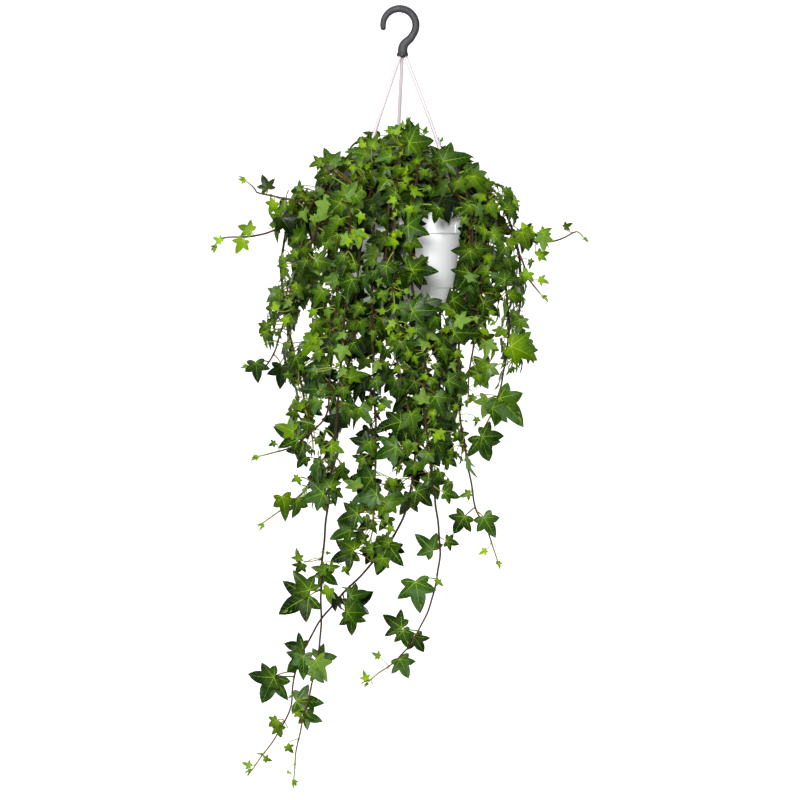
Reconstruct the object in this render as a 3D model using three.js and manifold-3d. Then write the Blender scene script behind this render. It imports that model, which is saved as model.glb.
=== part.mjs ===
// Trailing English ivy in a round plastic pot that hangs from a hook on three slim arms.
// Units are millimetres. +Z is up, +X is to the right and -Y is the front of the plant.
// The origin is the tip of the small nib inside the hook's crest, where the hook bears its load.
import * as THREE from 'three';
import { mergeVertices } from 'three/addons/utils/BufferGeometryUtils.js';
import Module from 'manifold-3d';

// Pot
const RIM_RADIUS = 75;
const RIM_Z = -233;
const POT_HEIGHT = 107;
const BAND_HEIGHT = 25;
const BODY_TOP_RADIUS = 70.5;
const BODY_FOOT_RADIUS = 60;
const FOOT_TOP_RADIUS = 56;
const FOOT_BASE_RADIUS = 51.5;
const FOOT_HEIGHT = 18;
const GROOVE = 1.2;
const WALL = 2.2;
const POT_SIDES = 30;
const PANEL_COUNT = 12;
const PANEL_ANGLE = THREE.MathUtils.degToRad(22);
const PANEL_HEIGHT = 12.5;
const PANEL_RELIEF = 0.9;
const FIT = 0.35;

// Soil
const SOIL_DROP = 13;
const SOIL_DEPTH = 74;
const ROOT_DEPTH = 14;
const ROOT_HOLE = 3.8;
const ROOT_RINGS = [24, 37, 50];
const SOIL_Z = RIM_Z - SOIL_DROP;

// Hook
const RING_CENTRE = new THREE.Vector3(-3.6, 0, -13.2);
const RING_RADIUS = 19.4;
const HOOK_DEPTH = 7.6;
const HOOK_WIDTH = 8.8;
const NECK_WIDTH = 10.8;
const TIP_WIDTH = 6.6;
const COLLAR_RADIUS = 6.9;
const COLLAR_TOP_Z = -45.5;
const COLLAR_HEIGHT = 5;
const LUG_RADIUS = 3.1;
const LUG_LENGTH = 7;

// Arms: the azimuth of each, measured from +X towards +Y
const ARM_AZIMUTHS = { arm_right: -23, arm_left: -143, arm_back: 97 };
const ARM_RADIUS = 1.65;
const ARM_TOP = { radius: 3.6, z: -48.5 };
const ARM_FOOT = { radius: 69.6, z: -247 };
const ARM_BOW = 4;
const CLIP_WIDTH = 5.4;
const CLIP_THICKNESS = 2.4;
const CLIP_RISE = 6;

// Ivy
const STEM_SIDES = 3;
const STEM_BASE_RADIUS = 1.9;
const STEM_TIP_RADIUS = 0.95;
const BRANCH_RADIUS = 1.3;
const STALK_HEIGHT = 2.2;
const STALK_END_WIDTH = 1.8;
const STALK_SETBACK = 1.9;
const BEND_LIMIT = THREE.MathUtils.degToRad(15);
const LONGEST_RUN = 13;
const BLADE_THICKNESS = 0.95;
const LINE_STEP = 5;
const FIRST_LEAF = 7;
const LEAF_SPACING = 8;
const CROWN_SPACING = 4;
const CROWN_FOOT_Z = -212;
const TRIES = 10;
const LISTED_RISE = 8;
const FORESHORTENING = 1.06;
const NO_LIMIT = -1000;
const CROWN_SHOOT_SPACING = 2;
const CROWN_LEAF = 30;
const GROWN_LEAF = 33;
const TIP_LEAF = 13;
const LEAF_CLEARANCE = 6.5;
const POT_CLEARANCE = 6;
const ARM_CLEARANCE = 8.5;
const FOOT_SPACE = { radius: 60, depth: 60 };
const HOOK_SPACE = { radius: 30, depth: 80 };
const OWN_STEM_CLEARANCE = 3.6;
const NODE_GAP = 0.3;
const CELL = 12;

const UP = new THREE.Vector3(0, 0, 1);
const FRONT = new THREE.Vector3(0, -1, 0);
const rad = THREE.MathUtils.degToRad;
const lerp = THREE.MathUtils.lerp;
const clamp = THREE.MathUtils.clamp;
const vec = (x, y, z) => new THREE.Vector3(x, y, z);
const polar = (radius, azimuth, z) => vec(radius * Math.cos(azimuth), radius * Math.sin(azimuth), z);

const wasm = await Module();
wasm.setup();

/** Makes a solid from corner points and triangles, turned so that its faces point out. */
function solidOf(points, triangles) {
  let volume = 0;
  for (const [a, b, c] of triangles) {
    volume += points[a].dot(points[b].clone().cross(points[c]));
  }
  const outward = volume > 0 ? triangles : triangles.map(([a, b, c]) => [a, c, b]);
  return new wasm.Manifold(new wasm.Mesh({
    numProp: 3,
    vertProperties: new Float32Array(points.flatMap((point) => point.toArray())),
    triVerts: new Uint32Array(outward.flat()),
  }));
}

/** Makes a solid from a closed three.js geometry. */
function solidOfGeometry(geometry) {
  const bare = geometry.clone();
  bare.deleteAttribute('normal');
  bare.deleteAttribute('uv');
  const merged = mergeVertices(bare, 1e-4);
  return new wasm.Manifold(new wasm.Mesh({
    numProp: 3,
    vertProperties: new Float32Array(merged.attributes.position.array),
    triVerts: new Uint32Array(merged.index.array),
  }));
}

/** Turns a solid back into a named three.js mesh. */
function meshOf(name, solid, material) {
  const { vertProperties, triVerts } = solid.getMesh();
  const geometry = new THREE.BufferGeometry();
  geometry.setAttribute('position', new THREE.BufferAttribute(Float32Array.from(vertProperties), 3));
  geometry.setIndex(new THREE.BufferAttribute(Uint32Array.from(triVerts), 1));
  geometry.computeVertexNormals();
  const mesh = new THREE.Mesh(geometry, material);
  mesh.name = name;
  return mesh;
}

/** Joins a row of rings, each with the same number of convex points, into a closed solid. */
function loft(rings) {
  const sides = rings[0].length;
  const last = (rings.length - 1) * sides;
  const triangles = [];
  for (let ring = 0; ring < rings.length - 1; ring += 1) {
    for (let side = 0; side < sides; side += 1) {
      const next = (side + 1) % sides;
      const [a, b] = [ring * sides + side, ring * sides + next];
      triangles.push([a, b, b + sides], [a, b + sides, a + sides]);
    }
  }
  for (let side = 1; side < sides - 1; side += 1) {
    triangles.push([0, side + 1, side], [last, last + side, last + side + 1]);
  }
  return solidOf(rings.flat(), triangles);
}

/** One ring round a point: an ellipse with its half sizes along two directions. */
function ellipseRing(centre, across, upward, halfWidth, halfHeight, sides) {
  return Array.from({ length: sides }, (_, side) => {
    const turn = (side + 0.5) / sides * 2 * Math.PI;
    return centre.clone()
      .addScaledVector(across, halfWidth * Math.cos(turn))
      .addScaledVector(upward, halfHeight * Math.sin(turn));
  });
}

/** Rings along a line, one for each radius, whose cross-section is carried along without twist. */
function tubeRings(points, radii, sides) {
  let across = null;
  return points.map((point, index) => {
    const before = points[Math.max(index - 1, 0)];
    const after = points[Math.min(index + 1, points.length - 1)];
    const along = after.clone().sub(before).normalize();
    const guide = across ?? (Math.abs(along.z) > 0.9 ? FRONT : UP);
    across = guide.clone().addScaledVector(along, -guide.dot(along)).normalize();
    return ellipseRing(point, across, along.clone().cross(across), radii[index], radii[index], sides);
  });
}

/** A straight or bent rod of one radius. */
function rod(points, radius, sides) {
  return loft(tubeRings(points, points.map(() => radius), sides));
}

/** A smooth line through route points, as even steps of LINE_STEP. */
function smoothLine(route) {
  const curve = new THREE.CatmullRomCurve3(route, false, 'catmullrom', 0.5);
  const fine = curve.getPoints(12 * (route.length - 1));
  const line = [fine[0].clone()];
  let travelled = 0;
  for (let index = 1; index < fine.length; index += 1) {
    const span = fine[index].distanceTo(fine[index - 1]);
    while (travelled + span >= LINE_STEP * line.length) {
      const share = (LINE_STEP * line.length - travelled) / span;
      line.push(fine[index - 1].clone().lerp(fine[index], share));
    }
    travelled += span;
  }
  return line;
}

/** Seeded numbers between 0 and 1, by the mulberry32 rule. */
function seededRandom(seed) {
  let state = seed >>> 0;
  return () => {
    state = (state + 0x6d2b79f5) >>> 0;
    let mixed = Math.imul(state ^ (state >>> 15), 1 | state);
    mixed = (mixed + Math.imul(mixed ^ (mixed >>> 7), 61 | mixed)) ^ mixed;
    return ((mixed ^ (mixed >>> 14)) >>> 0) / 4294967296;
  };
}

// Stems that show from the front: each route is traced from where it leaves the crown over the rim.
// leaves: petiole end x and z, centre lobe's tip x and z, and how far it stands behind the stem.
// bareBelow is the height under which the stem carries only the leaves listed.
const FRONT_VINES = {
  vine_front_centre: {
    route: [[-1, -40, -156], [-5, -85, -183], [-8, -118, -220], [-10, -132, -272], [-11, -134, -323],
      [-2, -128, -389]],
    leaves: [[11, -346, 41, -344, -8], [10, -365, 9, -377, -14]],
  },
  vine_longest: {
    route: [[-29, -55, -173], [-49, -105, -203], [-60, -128, -249], [-65, -132, -335], [-72, -130, -427],
      [-80, -126, -513], [-93, -121, -640], [-96, -118, -734], [-115, -114, -818], [-123, -112, -855],
      [-127, -110, -897]],
    leaves: [[-98, -415, -112, -413, -9], [-91, -555, -118, -563, -10], [-93, -648, -76, -664, 9],
      [-116, -639, -124, -651, 8], [-108, -674, -143, -693, -10], [-100, -750, -76, -748, 10],
      [-123, -800, -93, -801, 9], [-115, -818, -94, -825, 16], [-134, -850, -126, -860, -7],
      [-134, -881, -128, -883, -6]],
    bareBelow: -540,
  },
  vine_sweeping_left: {
    route: [[11, -50, -179], [6, -88, -214], [2, -98, -278], [9, -100, -347], [18, -101, -405],
      [18, -101, -475], [9, -98, -556], [-6, -96, -601], [-35, -94, -640], [-92, -90, -703],
      [-124, -86, -764], [-131, -84, -811], [-149, -82, -847], [-169, -80, -875], [-179, -80, -890]],
    leaves: [[16, -555, 35, -572, -10], [-9, -621, -9, -641, 9], [-17, -617, -30, -652, -9],
      [-39, -627, -24, -644, 9], [-58, -626, -84, -637, -10], [-60, -694, -36, -675, 9],
      [-61, -699, -58, -724, -10], [-116, -743, -139, -737, 9], [-115, -749, -135, -768, -9],
      [-149, -773, -166, -807, -9], [-146, -832, -141, -847, -8], [-162, -871, -152, -874, -7],
      [-178, -880, -188, -876, -6]],
    bareBelow: -545,
  },
  vine_hooked_right: {
    route: [[20, -60, -173], [14, -104, -214], [10, -117, -272], [13, -120, -335], [25, -122, -387],
      [26, -120, -468], [38, -116, -568], [43, -114, -616], [41, -112, -647], [30, -108, -693],
      [4, -104, -741], [-30, -101, -770], [-43, -100, -781]],
    leaves: [[48, -555, 67, -560, -9], [35, -624, 16, -606, 9], [51, -613, 66, -617, 8],
      [40, -658, 47, -664, -7], [15, -659, 21, -694, -9], [-1, -715, -24, -702, 9],
      [0, -717, 7, -737, -9], [14, -727, 25, -747, 16], [-3, -750, 7, -773, -9],
      [-27, -750, -36, -745, 8], [-42, -775, -46, -764, -6]],
    bareBelow: -530,
  },
  vine_right_of_centre: {
    route: [[56, -45, -178], [74, -82, -214], [80, -94, -278], [65, -100, -388], [64, -100, -445],
      [69, -98, -486], [79, -94, -545], [86, -92, -580], [98, -90, -601], [111, -86, -640]],
    leaves: [[52, -427, 72, -436, -9], [72, -585, 58, -606, -9], [94, -586, 108, -609, -10],
      [97, -625, 88, -630, -8]],
    bareBelow: -520,
  },
  vine_behind_right: {
    route: [[53, -62, -202], [75, -76, -237], [78, -78, -296], [64, -80, -357], [45, -84, -420],
      [40, -86, -482], [34, -88, -538]],
    leaves: [[38, -477, 60, -480, -9], [51, -520, 52, -534, -8]],
  },
  vine_right: {
    route: [[70, -20, -184], [97, -48, -214], [110, -60, -249], [122, -64, -337], [124, -62, -378],
      [112, -58, -448], [90, -54, -498]],
    leaves: [[137, -358, 133, -376, -8], [126, -389, 158, -403, -9], [100, -413, 72, -424, -9],
      [84, -449, 75, -458, 9], [113, -450, 143, -479, -10], [104, -461, 123, -477, -20],
      [93, -495, 120, -494, -10], [92, -497, 103, -528, 9]],
    bareBelow: -370,
  },
  shoot_far_right: {
    route: [[81, -4, -193], [107, -14, -225], [125, -26, -253], [138, -34, -263], [154, -38, -268],
      [172, -40, -268], [190, -42, -263], [204, -42, -256], [213, -42, -264]],
    branch: [[125, -26, -253], [136, -33, -279], [142, -36, -295], [149, -38, -313], [167, -38, -335]],
    leaves: [[148, -260, 139, -245, -8], [163, -258, 175, -251, -9], [189, -251, 199, -246, -8],
      [159, -285, 172, -279, -9], [147, -304, 140, -318, -8], [160, -312, 172, -316, -9]],
    bareBelow: -240,
  },
  shoot_far_left: {
    route: [[-74, -5, -193], [-103, -28, -222], [-127, -38, -242], [-150, -42, -254],
      [-172, -44, -261], [-212, -46, -264], [-219, -46, -273]],
    branch: [[-103, -28, -222], [-124, -24, -220], [-144, -24, -216], [-170, -26, -211],
      [-175, -26, -204], [-188, -26, -194]],
    leaves: [[-140, -246, -155, -235, -9], [-177, -256, -193, -247, -9], [-186, -266, -195, -281, -8],
      [-212, -268, -222, -262, -7], [-158, -206, -165, -190, -8], [-150, -222, -158, -236, -8]],
    bareBelow: -228,
  },
  vine_left_outer: {
    route: [[-80, -35, -198], [-111, -58, -234], [-117, -64, -278], [-122, -66, -325],
      [-138, -66, -360], [-149, -66, -395], [-166, -66, -419], [-182, -66, -414]],
    leaves: [[-141, -413, -143, -439, 8], [-171, -408, -168, -431, -8], [-158, -364, -168, -375, -8],
      [-160, -372, -159, -386, -14]],
    bareBelow: -350,
  },
  vine_left: {
    route: [[-67, -60, -210], [-98, -82, -252], [-119, -86, -307], [-131, -86, -365],
      [-120, -86, -422], [-106, -82, -488], [-104, -82, -511]],
    leaves: [[-124, -401, -113, -421, -9], [-97, -438, -121, -438, -9], [-110, -477, -112, -496, -9]],
  },
  vine_left_forked: {
    route: [[-59, -85, -214], [-70, -106, -266], [-76, -110, -335], [-84, -110, -428],
      [-88, -110, -466], [-107, -104, -488], [-132, -100, -506], [-172, -96, -517]],
    leaves: [[-74, -468, -83, -494, 9], [-121, -495, -147, -479, -9], [-116, -507, -135, -510, 8],
      [-147, -499, -156, -503, -8]],
    bareBelow: -500,
  },
  vine_left_low: {
    route: [[-36, -85, -208], [-47, -114, -266], [-54, -116, -335], [-56, -114, -377],
      [-68, -106, -434], [-74, -98, -486], [-96, -98, -526], [-118, -98, -560], [-163, -94, -594]],
    leaves: [[-112, -517, -124, -530, 9]],
  },
  vine_front_left: {
    route: [[-20, -75, -191], [-33, -108, -249], [-35, -116, -335], [-33, -118, -427],
      [-31, -116, -485], [-33, -112, -584], [-39, -110, -618]],
    leaves: [[-39, -500, -60, -492, -9], [-30, -557, -58, -564, -10], [-52, -579, -76, -587, -18],
      [-60, -601, -84, -610, 8]],
  },
  vine_front_inner: {
    route: [[-12, -90, -194], [-18, -110, -255], [-18, -108, -335], [-9, -108, -393],
      [7, -108, -468], [-5, -104, -532]],
    leaves: [[-1, -478, 8, -508, -9], [-7, -502, -33, -515, -20], [4, -496, 6, -510, -28]],
  },
  vine_right_inner: {
    route: [[79, -45, -214], [94, -62, -261], [91, -74, -325], [78, -76, -418], [76, -76, -453]],
    leaves: [[94, -338, 112, -353, -9], [80, -374, 60, -375, -9], [70, -358, 67, -374, 8]],
  },
  vine_side_right: {
    route: [[95, 14, -205], [126, 16, -241], [141, 16, -305], [136, 14, -381], [130, 12, -420]],
    leaves: [],
  },
  vine_side_left: {
    route: [[-95, 14, -204], [-131, 14, -237], [-144, 14, -291], [-140, 12, -351], [-126, 12, -455]],
    leaves: [],
  },
};

// Short upright shoots that make the crown of the plant.
const CROWN_SHOOTS = {
  crown_shoot_middle: [[-6, 2, -205], [-4, -6, -165], [6, -16, -128]],
  crown_shoot_front: [[12, -10, -208], [20, -22, -170], [26, -36, -138]],
  crown_shoot_left: [[-20, 2, -208], [-34, 2, -178], [-46, 0, -148]],
  crown_shoot_right: [[20, 8, -208], [34, 10, -178], [46, 12, -150]],
  crown_shoot_back_right: [[14, 16, -208], [22, 30, -178], [28, 46, -148]],
  crown_shoot_back_left: [[-12, 16, -208], [-24, 30, -178], [-36, 44, -150]],
};

// Stems at the back, which the arm at azimuth 97 degrees parts into two fans.
const BACK_FAN = { middle: 97, half: 6, step: 13, right: 6, left: 6 };

/** The upright start of a stem in its hole: from down in the soil to just above it. */
const rootRoute = (root) => [-ROOT_DEPTH, -4, 7].map((height) => root.clone().setZ(SOIL_Z + height));

/** The route of one stem at the back: up from the crown, over the rim and down. */
function backRoute(azimuth, random) {
  const drift = rad(lerp(-4, 4, random()));
  const apex = { radius: lerp(58, 72, random()), z: lerp(-200, -166, random()) };
  const hang = lerp(104, 124, random());
  const end = lerp(-330, -560, random() * Math.abs(Math.sin(azimuth)));
  const curl = lerp(4, 22, random());
  return [
    polar(apex.radius, azimuth, apex.z),
    polar(hang - 12, azimuth, -216),
    polar(hang, azimuth + drift * 0.3, -262),
    polar(hang - 2, azimuth + drift * 0.7, lerp(-262, end, 0.45)),
    polar(hang - 10, azimuth + drift, lerp(-262, end, 0.8)),
    polar(hang - 10 + curl, azimuth + drift * 1.4, end),
  ];
}

/** All stems with their routes in order round the pot, before their roots are set. */
function plantedVines() {
  const vines = Object.entries(FRONT_VINES).map(([name, vine]) => ({
    name,
    route: vine.route.map((point) => vec(...point)),
    branch: vine.branch?.map((point) => vec(...point)),
    listed: vine.leaves,
    bareBelow: vine.bareBelow ?? NO_LIMIT,
  }));
  const { middle, half, step, right, left } = BACK_FAN;
  const azimuths = [
    ...Array.from({ length: right }, (_, index) => middle - half - step * index),
    ...Array.from({ length: left }, (_, index) => middle + half + step * index),
  ];
  azimuths.forEach((azimuth, index) => {
    const name = `vine_back_${String(index + 1).padStart(2, '0')}`;
    const route = backRoute(rad(azimuth), seededRandom(700 + index));
    vines.push({ name, route, listed: [], bareBelow: NO_LIMIT });
  });
  const azimuthOf = ({ route }) => Math.atan2(route[0].y, route[0].x);
  vines.sort((a, b) => azimuthOf(a) - azimuthOf(b));
  vines.forEach((vine, index) => {
    vine.root = polar(ROOT_RINGS[index % ROOT_RINGS.length], azimuthOf(vine), SOIL_Z);
    const rise = vine.root.clone().lerp(vine.route[0], 0.35);
    rise.z = lerp(SOIL_Z, vine.route[0].z, 0.62);
    vine.route.unshift(...rootRoute(vine.root), rise);
  });
  Object.entries(CROWN_SHOOTS).forEach(([name, points]) => {
    const [first, ...rest] = points.map((point) => vec(...point));
    const root = vec(first.x * 0.5, first.y * 0.5, SOIL_Z);
    const route = [...rootRoute(root), first, ...rest];
    vines.push({ name, root, route, listed: [], bareBelow: NO_LIMIT, crown: true });
  });
  vines.forEach((vine, index) => {
    vine.seed = 100 + 17 * index;
    vine.line = smoothLine(vine.route);
    vine.branchLine = vine.branch ? smoothLine(vine.branch) : [];
    vine.leaves = [];
  });
  return vines;
}

/** Points already taken by stems and leaves, kept in cells so that near ones are found quickly. */
class TakenSpace {
  constructor() {
    this.cells = new Map();
  }

  static key(x, y, z) {
    return `${x},${y},${z}`;
  }

  add(point, owner, isStem) {
    const key = TakenSpace.key(...point.toArray().map((value) => Math.floor(value / CELL)));
    if (!this.cells.has(key)) this.cells.set(key, []);
    this.cells.get(key).push({ point, owner, isStem });
  }

  isFree(point, owner) {
    const [x, y, z] = point.toArray().map((value) => Math.floor(value / CELL));
    for (let dx = -1; dx <= 1; dx += 1) {
      for (let dy = -1; dy <= 1; dy += 1) {
        for (let dz = -1; dz <= 1; dz += 1) {
          for (const taken of this.cells.get(TakenSpace.key(x + dx, y + dy, z + dz)) ?? []) {
            const ownStem = taken.isStem && taken.owner === owner;
            const reach = ownStem ? OWN_STEM_CLEARANCE : LEAF_CLEARANCE;
            if (taken.point.distanceTo(point) < reach) return false;
          }
        }
      }
    }
    return true;
  }
}

/** Whether a point lies clear of the pot, of the space under its foot, of the arms and the hook. */
function clearOfHolder(point) {
  const radius = Math.hypot(point.x, point.y);
  const belowRim = RIM_Z - point.z;
  const belowFoot = belowRim - POT_HEIGHT - POT_CLEARANCE;
  if (belowRim > -POT_CLEARANCE && belowFoot < 0 && radius < RIM_RADIUS + POT_CLEARANCE) return false;
  if (belowFoot >= 0 && belowFoot < FOOT_SPACE.depth && radius < FOOT_SPACE.radius) return false;
  if (point.z > -HOOK_SPACE.depth && radius < HOOK_SPACE.radius) return false;
  return Object.values(ARM_AZIMUTHS).every((azimuth) => {
    const arm = new THREE.Line3(
      polar(ARM_TOP.radius, rad(azimuth), ARM_TOP.z),
      polar(ARM_FOOT.radius, rad(azimuth), ARM_FOOT.z),
    );
    return arm.closestPointToPoint(point, true, vec()).distanceTo(point) > ARM_CLEARANCE;
  });
}

// The right half of a blade's outline from its petiole's end, as shares of the centre lobe's length:
// x across and y along. The triangles join petiole end (0), these points and the lobe's tip (last).
const BROAD_LEAF = {
  from: 27,
  half: [[0.448, -0.11], [0.36, 0.075], [0.636, 0.4], [0.235, 0.41]],
  triangles: [[0, 1, 2], [0, 2, 4], [2, 3, 4], [0, 4, 5]],
};
const YOUNG_LEAF = { from: 12, half: [[0.56, 0.2], [0.24, 0.42]], triangles: [[0, 1, 2], [0, 2, 3]] };
const BUD_LEAF = { from: 0, half: [[0.34, 0.3]], triangles: [[0, 1, 2]] };

/** Height of a blade over its petiole's end: folded along the midrib and drooping to its tip. */
const bladeRise = (x, y) => 0.16 * Math.abs(x) - 0.18 * y * y;

/** A leaf at one step of a stem's line, from its petiole's end and the ways its tip points and it faces. */
function makeLeaf(line, step, base, tipWay, faceWay, length) {
  const along = tipWay.clone().normalize();
  const face = faceWay.clone().addScaledVector(along, -faceWay.dot(along)).normalize();
  const across = along.clone().cross(face);
  return { line, step, stemPoint: line[step], base, along, face, across, length };
}

/** A point of a leaf's blade, from its place across and along the blade. */
function bladePoint(leaf, x, y, rise = 0) {
  return leaf.base.clone()
    .addScaledVector(leaf.across, x * leaf.length)
    .addScaledVector(leaf.along, y * leaf.length)
    .addScaledVector(leaf.face, bladeRise(x, y) * leaf.length + rise);
}

const SAMPLE_SPOTS = [[0, 0], [0, 0.35], [0, 0.68], [0, 1], [0.3, 0.2], [-0.3, 0.2], [0.6, 0.38],
  [-0.6, 0.38], [0.42, -0.08], [-0.42, -0.08], [0.18, 0.5], [-0.18, 0.5]];

/** The points that stand for a leaf when space is shared out. */
function leafSamples(leaf) {
  const samples = SAMPLE_SPOTS.map(([x, y]) => bladePoint(leaf, x, y));
  samples.push(leaf.stemPoint.clone().lerp(leaf.base, 0.6));
  return samples;
}

/** Whether a stem's line carries no leaf yet at a step. */
function stepIsFree(vine, line, step) {
  return step > 1 && step < line.length - 1
    && vine.leaves.every((leaf) => leaf.line !== line || leaf.step !== step);
}

/** The leaf that is listed for a stem, with its petiole springing a little above it. */
function listedLeaf(vine, [baseX, baseZ, tipX, tipZ, behind], random) {
  const places = [vine.line, vine.branchLine].flatMap((line) => line.map((point, step) => ({
    line, step, away: Math.hypot(point.x - baseX, point.z - (baseZ + LISTED_RISE)),
  })));
  places.sort((a, b) => a.away - b.away);
  const { line, step } = places.find((place) => stepIsFree(vine, place.line, place.step));
  const base = vec(baseX, line[step].y + behind, baseZ);
  const reach = Math.hypot(tipX - baseX, tipZ - baseZ);
  const tipWay = vec(tipX - baseX, reach * lerp(-0.1, 0.25, random()), tipZ - baseZ);
  const faceWay = vec(lerp(-0.3, 0.3, random()), -1, lerp(0, 0.5, random()));
  return makeLeaf(line, step, base, tipWay, faceWay, reach * FORESHORTENING);
}

/** A leaf placed by rule at one step of a stem's line, turned by seeded chance. */
function ruledLeaf(line, step, side, length, random) {
  const point = line[step];
  const along = line[Math.min(step + 1, line.length - 1)].clone().sub(line[step - 1]).normalize();
  const hanging = clamp(-along.z * 1.3, 0, 1);
  const outward = vec(point.x, point.y, 0).normalize();
  const sideways = along.clone().cross(outward).normalize().multiplyScalar(side);
  const [lift, spread, swing, roll, pitch, reach] = Array.from({ length: 6 }, random);
  const petiole = outward.clone().multiplyScalar(0.35 + 0.5 * lift)
    .addScaledVector(sideways, 0.35 + 0.6 * spread)
    .addScaledVector(UP, 0.25 + 1.3 * (1 - hanging) * lift);
  const base = point.clone().addScaledVector(petiole.normalize(), length * (0.35 + 0.5 * reach));
  const tipWay = outward.clone().multiplyScalar(lerp(0.9, 0.3, hanging))
    .addScaledVector(UP, lerp(-0.15, -1, hanging))
    .addScaledVector(sideways, 0.2 + 1.1 * swing);
  const faceWay = outward.clone().multiplyScalar(lerp(0.35, 0.95, hanging))
    .addScaledVector(UP, lerp(1, 0.15 + 0.5 * pitch, hanging))
    .addScaledVector(sideways, lerp(-0.35, 0.55, roll));
  return makeLeaf(line, step, base, tipWay, faceWay, length);
}

/** Length of a leaf along its stem: large near the crown, small at the growing tip. */
function ruledLength(vine, share, random) {
  const size = lerp(vine.crown ? CROWN_LEAF : GROWN_LEAF, TIP_LEAF, share ** 2.2);
  return size * lerp(0.82, 1.2, random());
}

/** How many steps lie between a leaf and the next on a stem: few in the crown, more on the trails. */
function leafSpacing(vine, point) {
  if (vine.crown) return CROWN_SHOOT_SPACING;
  return point.z > CROWN_FOOT_Z ? CROWN_SPACING : LEAF_SPACING;
}

/** Tries a few turns and sizes of a leaf at one step, and returns the first that has room. */
function leafWithRoom(vine, line, step, side, random, hasRoom) {
  for (let attempt = 0; attempt < TRIES; attempt += 1) {
    const shrink = attempt > TRIES / 2 ? 0.75 : 1;
    const length = shrink * ruledLength(vine, step / line.length, random);
    const leaf = ruledLeaf(line, step, side, length, random);
    if (leafSamples(leaf).every(hasRoom)) return leaf;
  }
  return null;
}

/** Grows leaves on all stems, those listed first, and keeps each clear of all that came before. */
function growLeaves(vines) {
  const taken = new TakenSpace();
  vines.forEach((vine) => {
    [...vine.line, ...vine.branchLine].forEach((point) => taken.add(point, vine, true));
  });
  const accept = (vine, leaf) => {
    vine.leaves.push(leaf);
    leafSamples(leaf).forEach((point) => taken.add(point, vine, false));
  };
  vines.forEach((vine) => {
    const random = seededRandom(vine.seed);
    vine.listed.forEach((entry) => accept(vine, listedLeaf(vine, entry, random)));
  });
  vines.forEach((vine) => {
    const random = seededRandom(vine.seed + 5);
    [vine.line, vine.branchLine].forEach((line) => {
      let side = vine.seed % 2 ? 1 : -1;
      for (let step = FIRST_LEAF; step < line.length - 1; step += leafSpacing(vine, line[step])) {
        side = -side;
        if (line[step].z < vine.bareBelow) break;
        const leaf = stepIsFree(vine, line, step) && leafWithRoom(vine, line, step, side, random, (point) => (
          clearOfHolder(point) && taken.isFree(point, vine)));
        if (leaf) accept(vine, leaf);
      }
    });
  });
}

/** A closed surface that is put together from corner points and triangles. */
class Surface {
  constructor() {
    this.points = [];
    this.triangles = [];
  }

  addPoints(points) {
    const first = this.points.length;
    this.points.push(...points);
    return points.map((_, index) => first + index);
  }

  addFace(...corners) {
    for (let corner = 1; corner < corners.length - 1; corner += 1) {
      this.triangles.push([corners[0], corners[corner], corners[corner + 1]]);
    }
  }

  solid() {
    return solidOf(this.points, this.triangles);
  }
}

/** Adds a blade, a folded sheet with pointed lobes, and returns the four corners open for its stalk. */
function addBlade(surface, leaf) {
  const { half, triangles } = [BROAD_LEAF, YOUNG_LEAF, BUD_LEAF].find(({ from }) => leaf.length >= from);
  const stalk = STALK_END_WIDTH / 2 / leaf.length;
  const right = [[stalk, 0], ...half];
  const outline = [...right, [0, 1], ...right.map(([x, y]) => [-x, y]).reverse()];
  const count = outline.length;
  const mirrored = (corner) => count - 1 - corner;
  const sheet = [
    ...triangles,
    ...triangles.map(([a, b, c]) => [mirrored(a), mirrored(c), mirrored(b)]),
    [count - 1, 0, half.length + 1],
  ];
  const setback = (corner) => (corner % (count - 1) === 0 ? STALK_SETBACK / leaf.length : 0);
  const upper = surface.addPoints(outline.map(([x, y]) => bladePoint(leaf, x, y, BLADE_THICKNESS / 2)));
  const lower = surface.addPoints(outline.map(([x, y], corner) => (
    bladePoint(leaf, x, y + setback(corner), -BLADE_THICKNESS / 2))));
  sheet.forEach(([a, b, c]) => {
    surface.triangles.push([upper[a], upper[b], upper[c]], [lower[a], lower[c], lower[b]]);
  });
  for (let corner = 0; corner < count - 1; corner += 1) {
    surface.addFace(upper[corner], lower[corner], lower[corner + 1], upper[corner + 1]);
  }
  return [upper[count - 1], lower[count - 1], lower[0], upper[0]];
}

/** Joins the four corners open on a stem with the four open on a blade, with the least twist. */
function addStalk(surface, open, bladeOpen) {
  const at = (corners) => corners.map((corner) => surface.points[corner]);
  const middle = (points) => points.reduce((sum, point) => sum.clone().add(point), vec()).divideScalar(4);
  const shift = middle(at(bladeOpen)).sub(middle(at(open)));
  const twist = (turn) => open.reduce((sum, corner, index) => {
    const partner = surface.points[bladeOpen[(turn - index + 8) % 4]];
    return sum + surface.points[corner].clone().add(shift).distanceTo(partner);
  }, 0);
  const turn = [0, 1, 2, 3].reduce((best, candidate) => (twist(candidate) < twist(best) ? candidate : best));
  for (let index = 0; index < 4; index += 1) {
    const next = (index + 1) % 4;
    const partners = [next, index].map((corner) => bladeOpen[(turn - corner + 8) % 4]);
    surface.addFace(open[index], open[next], ...partners);
  }
}

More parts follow.
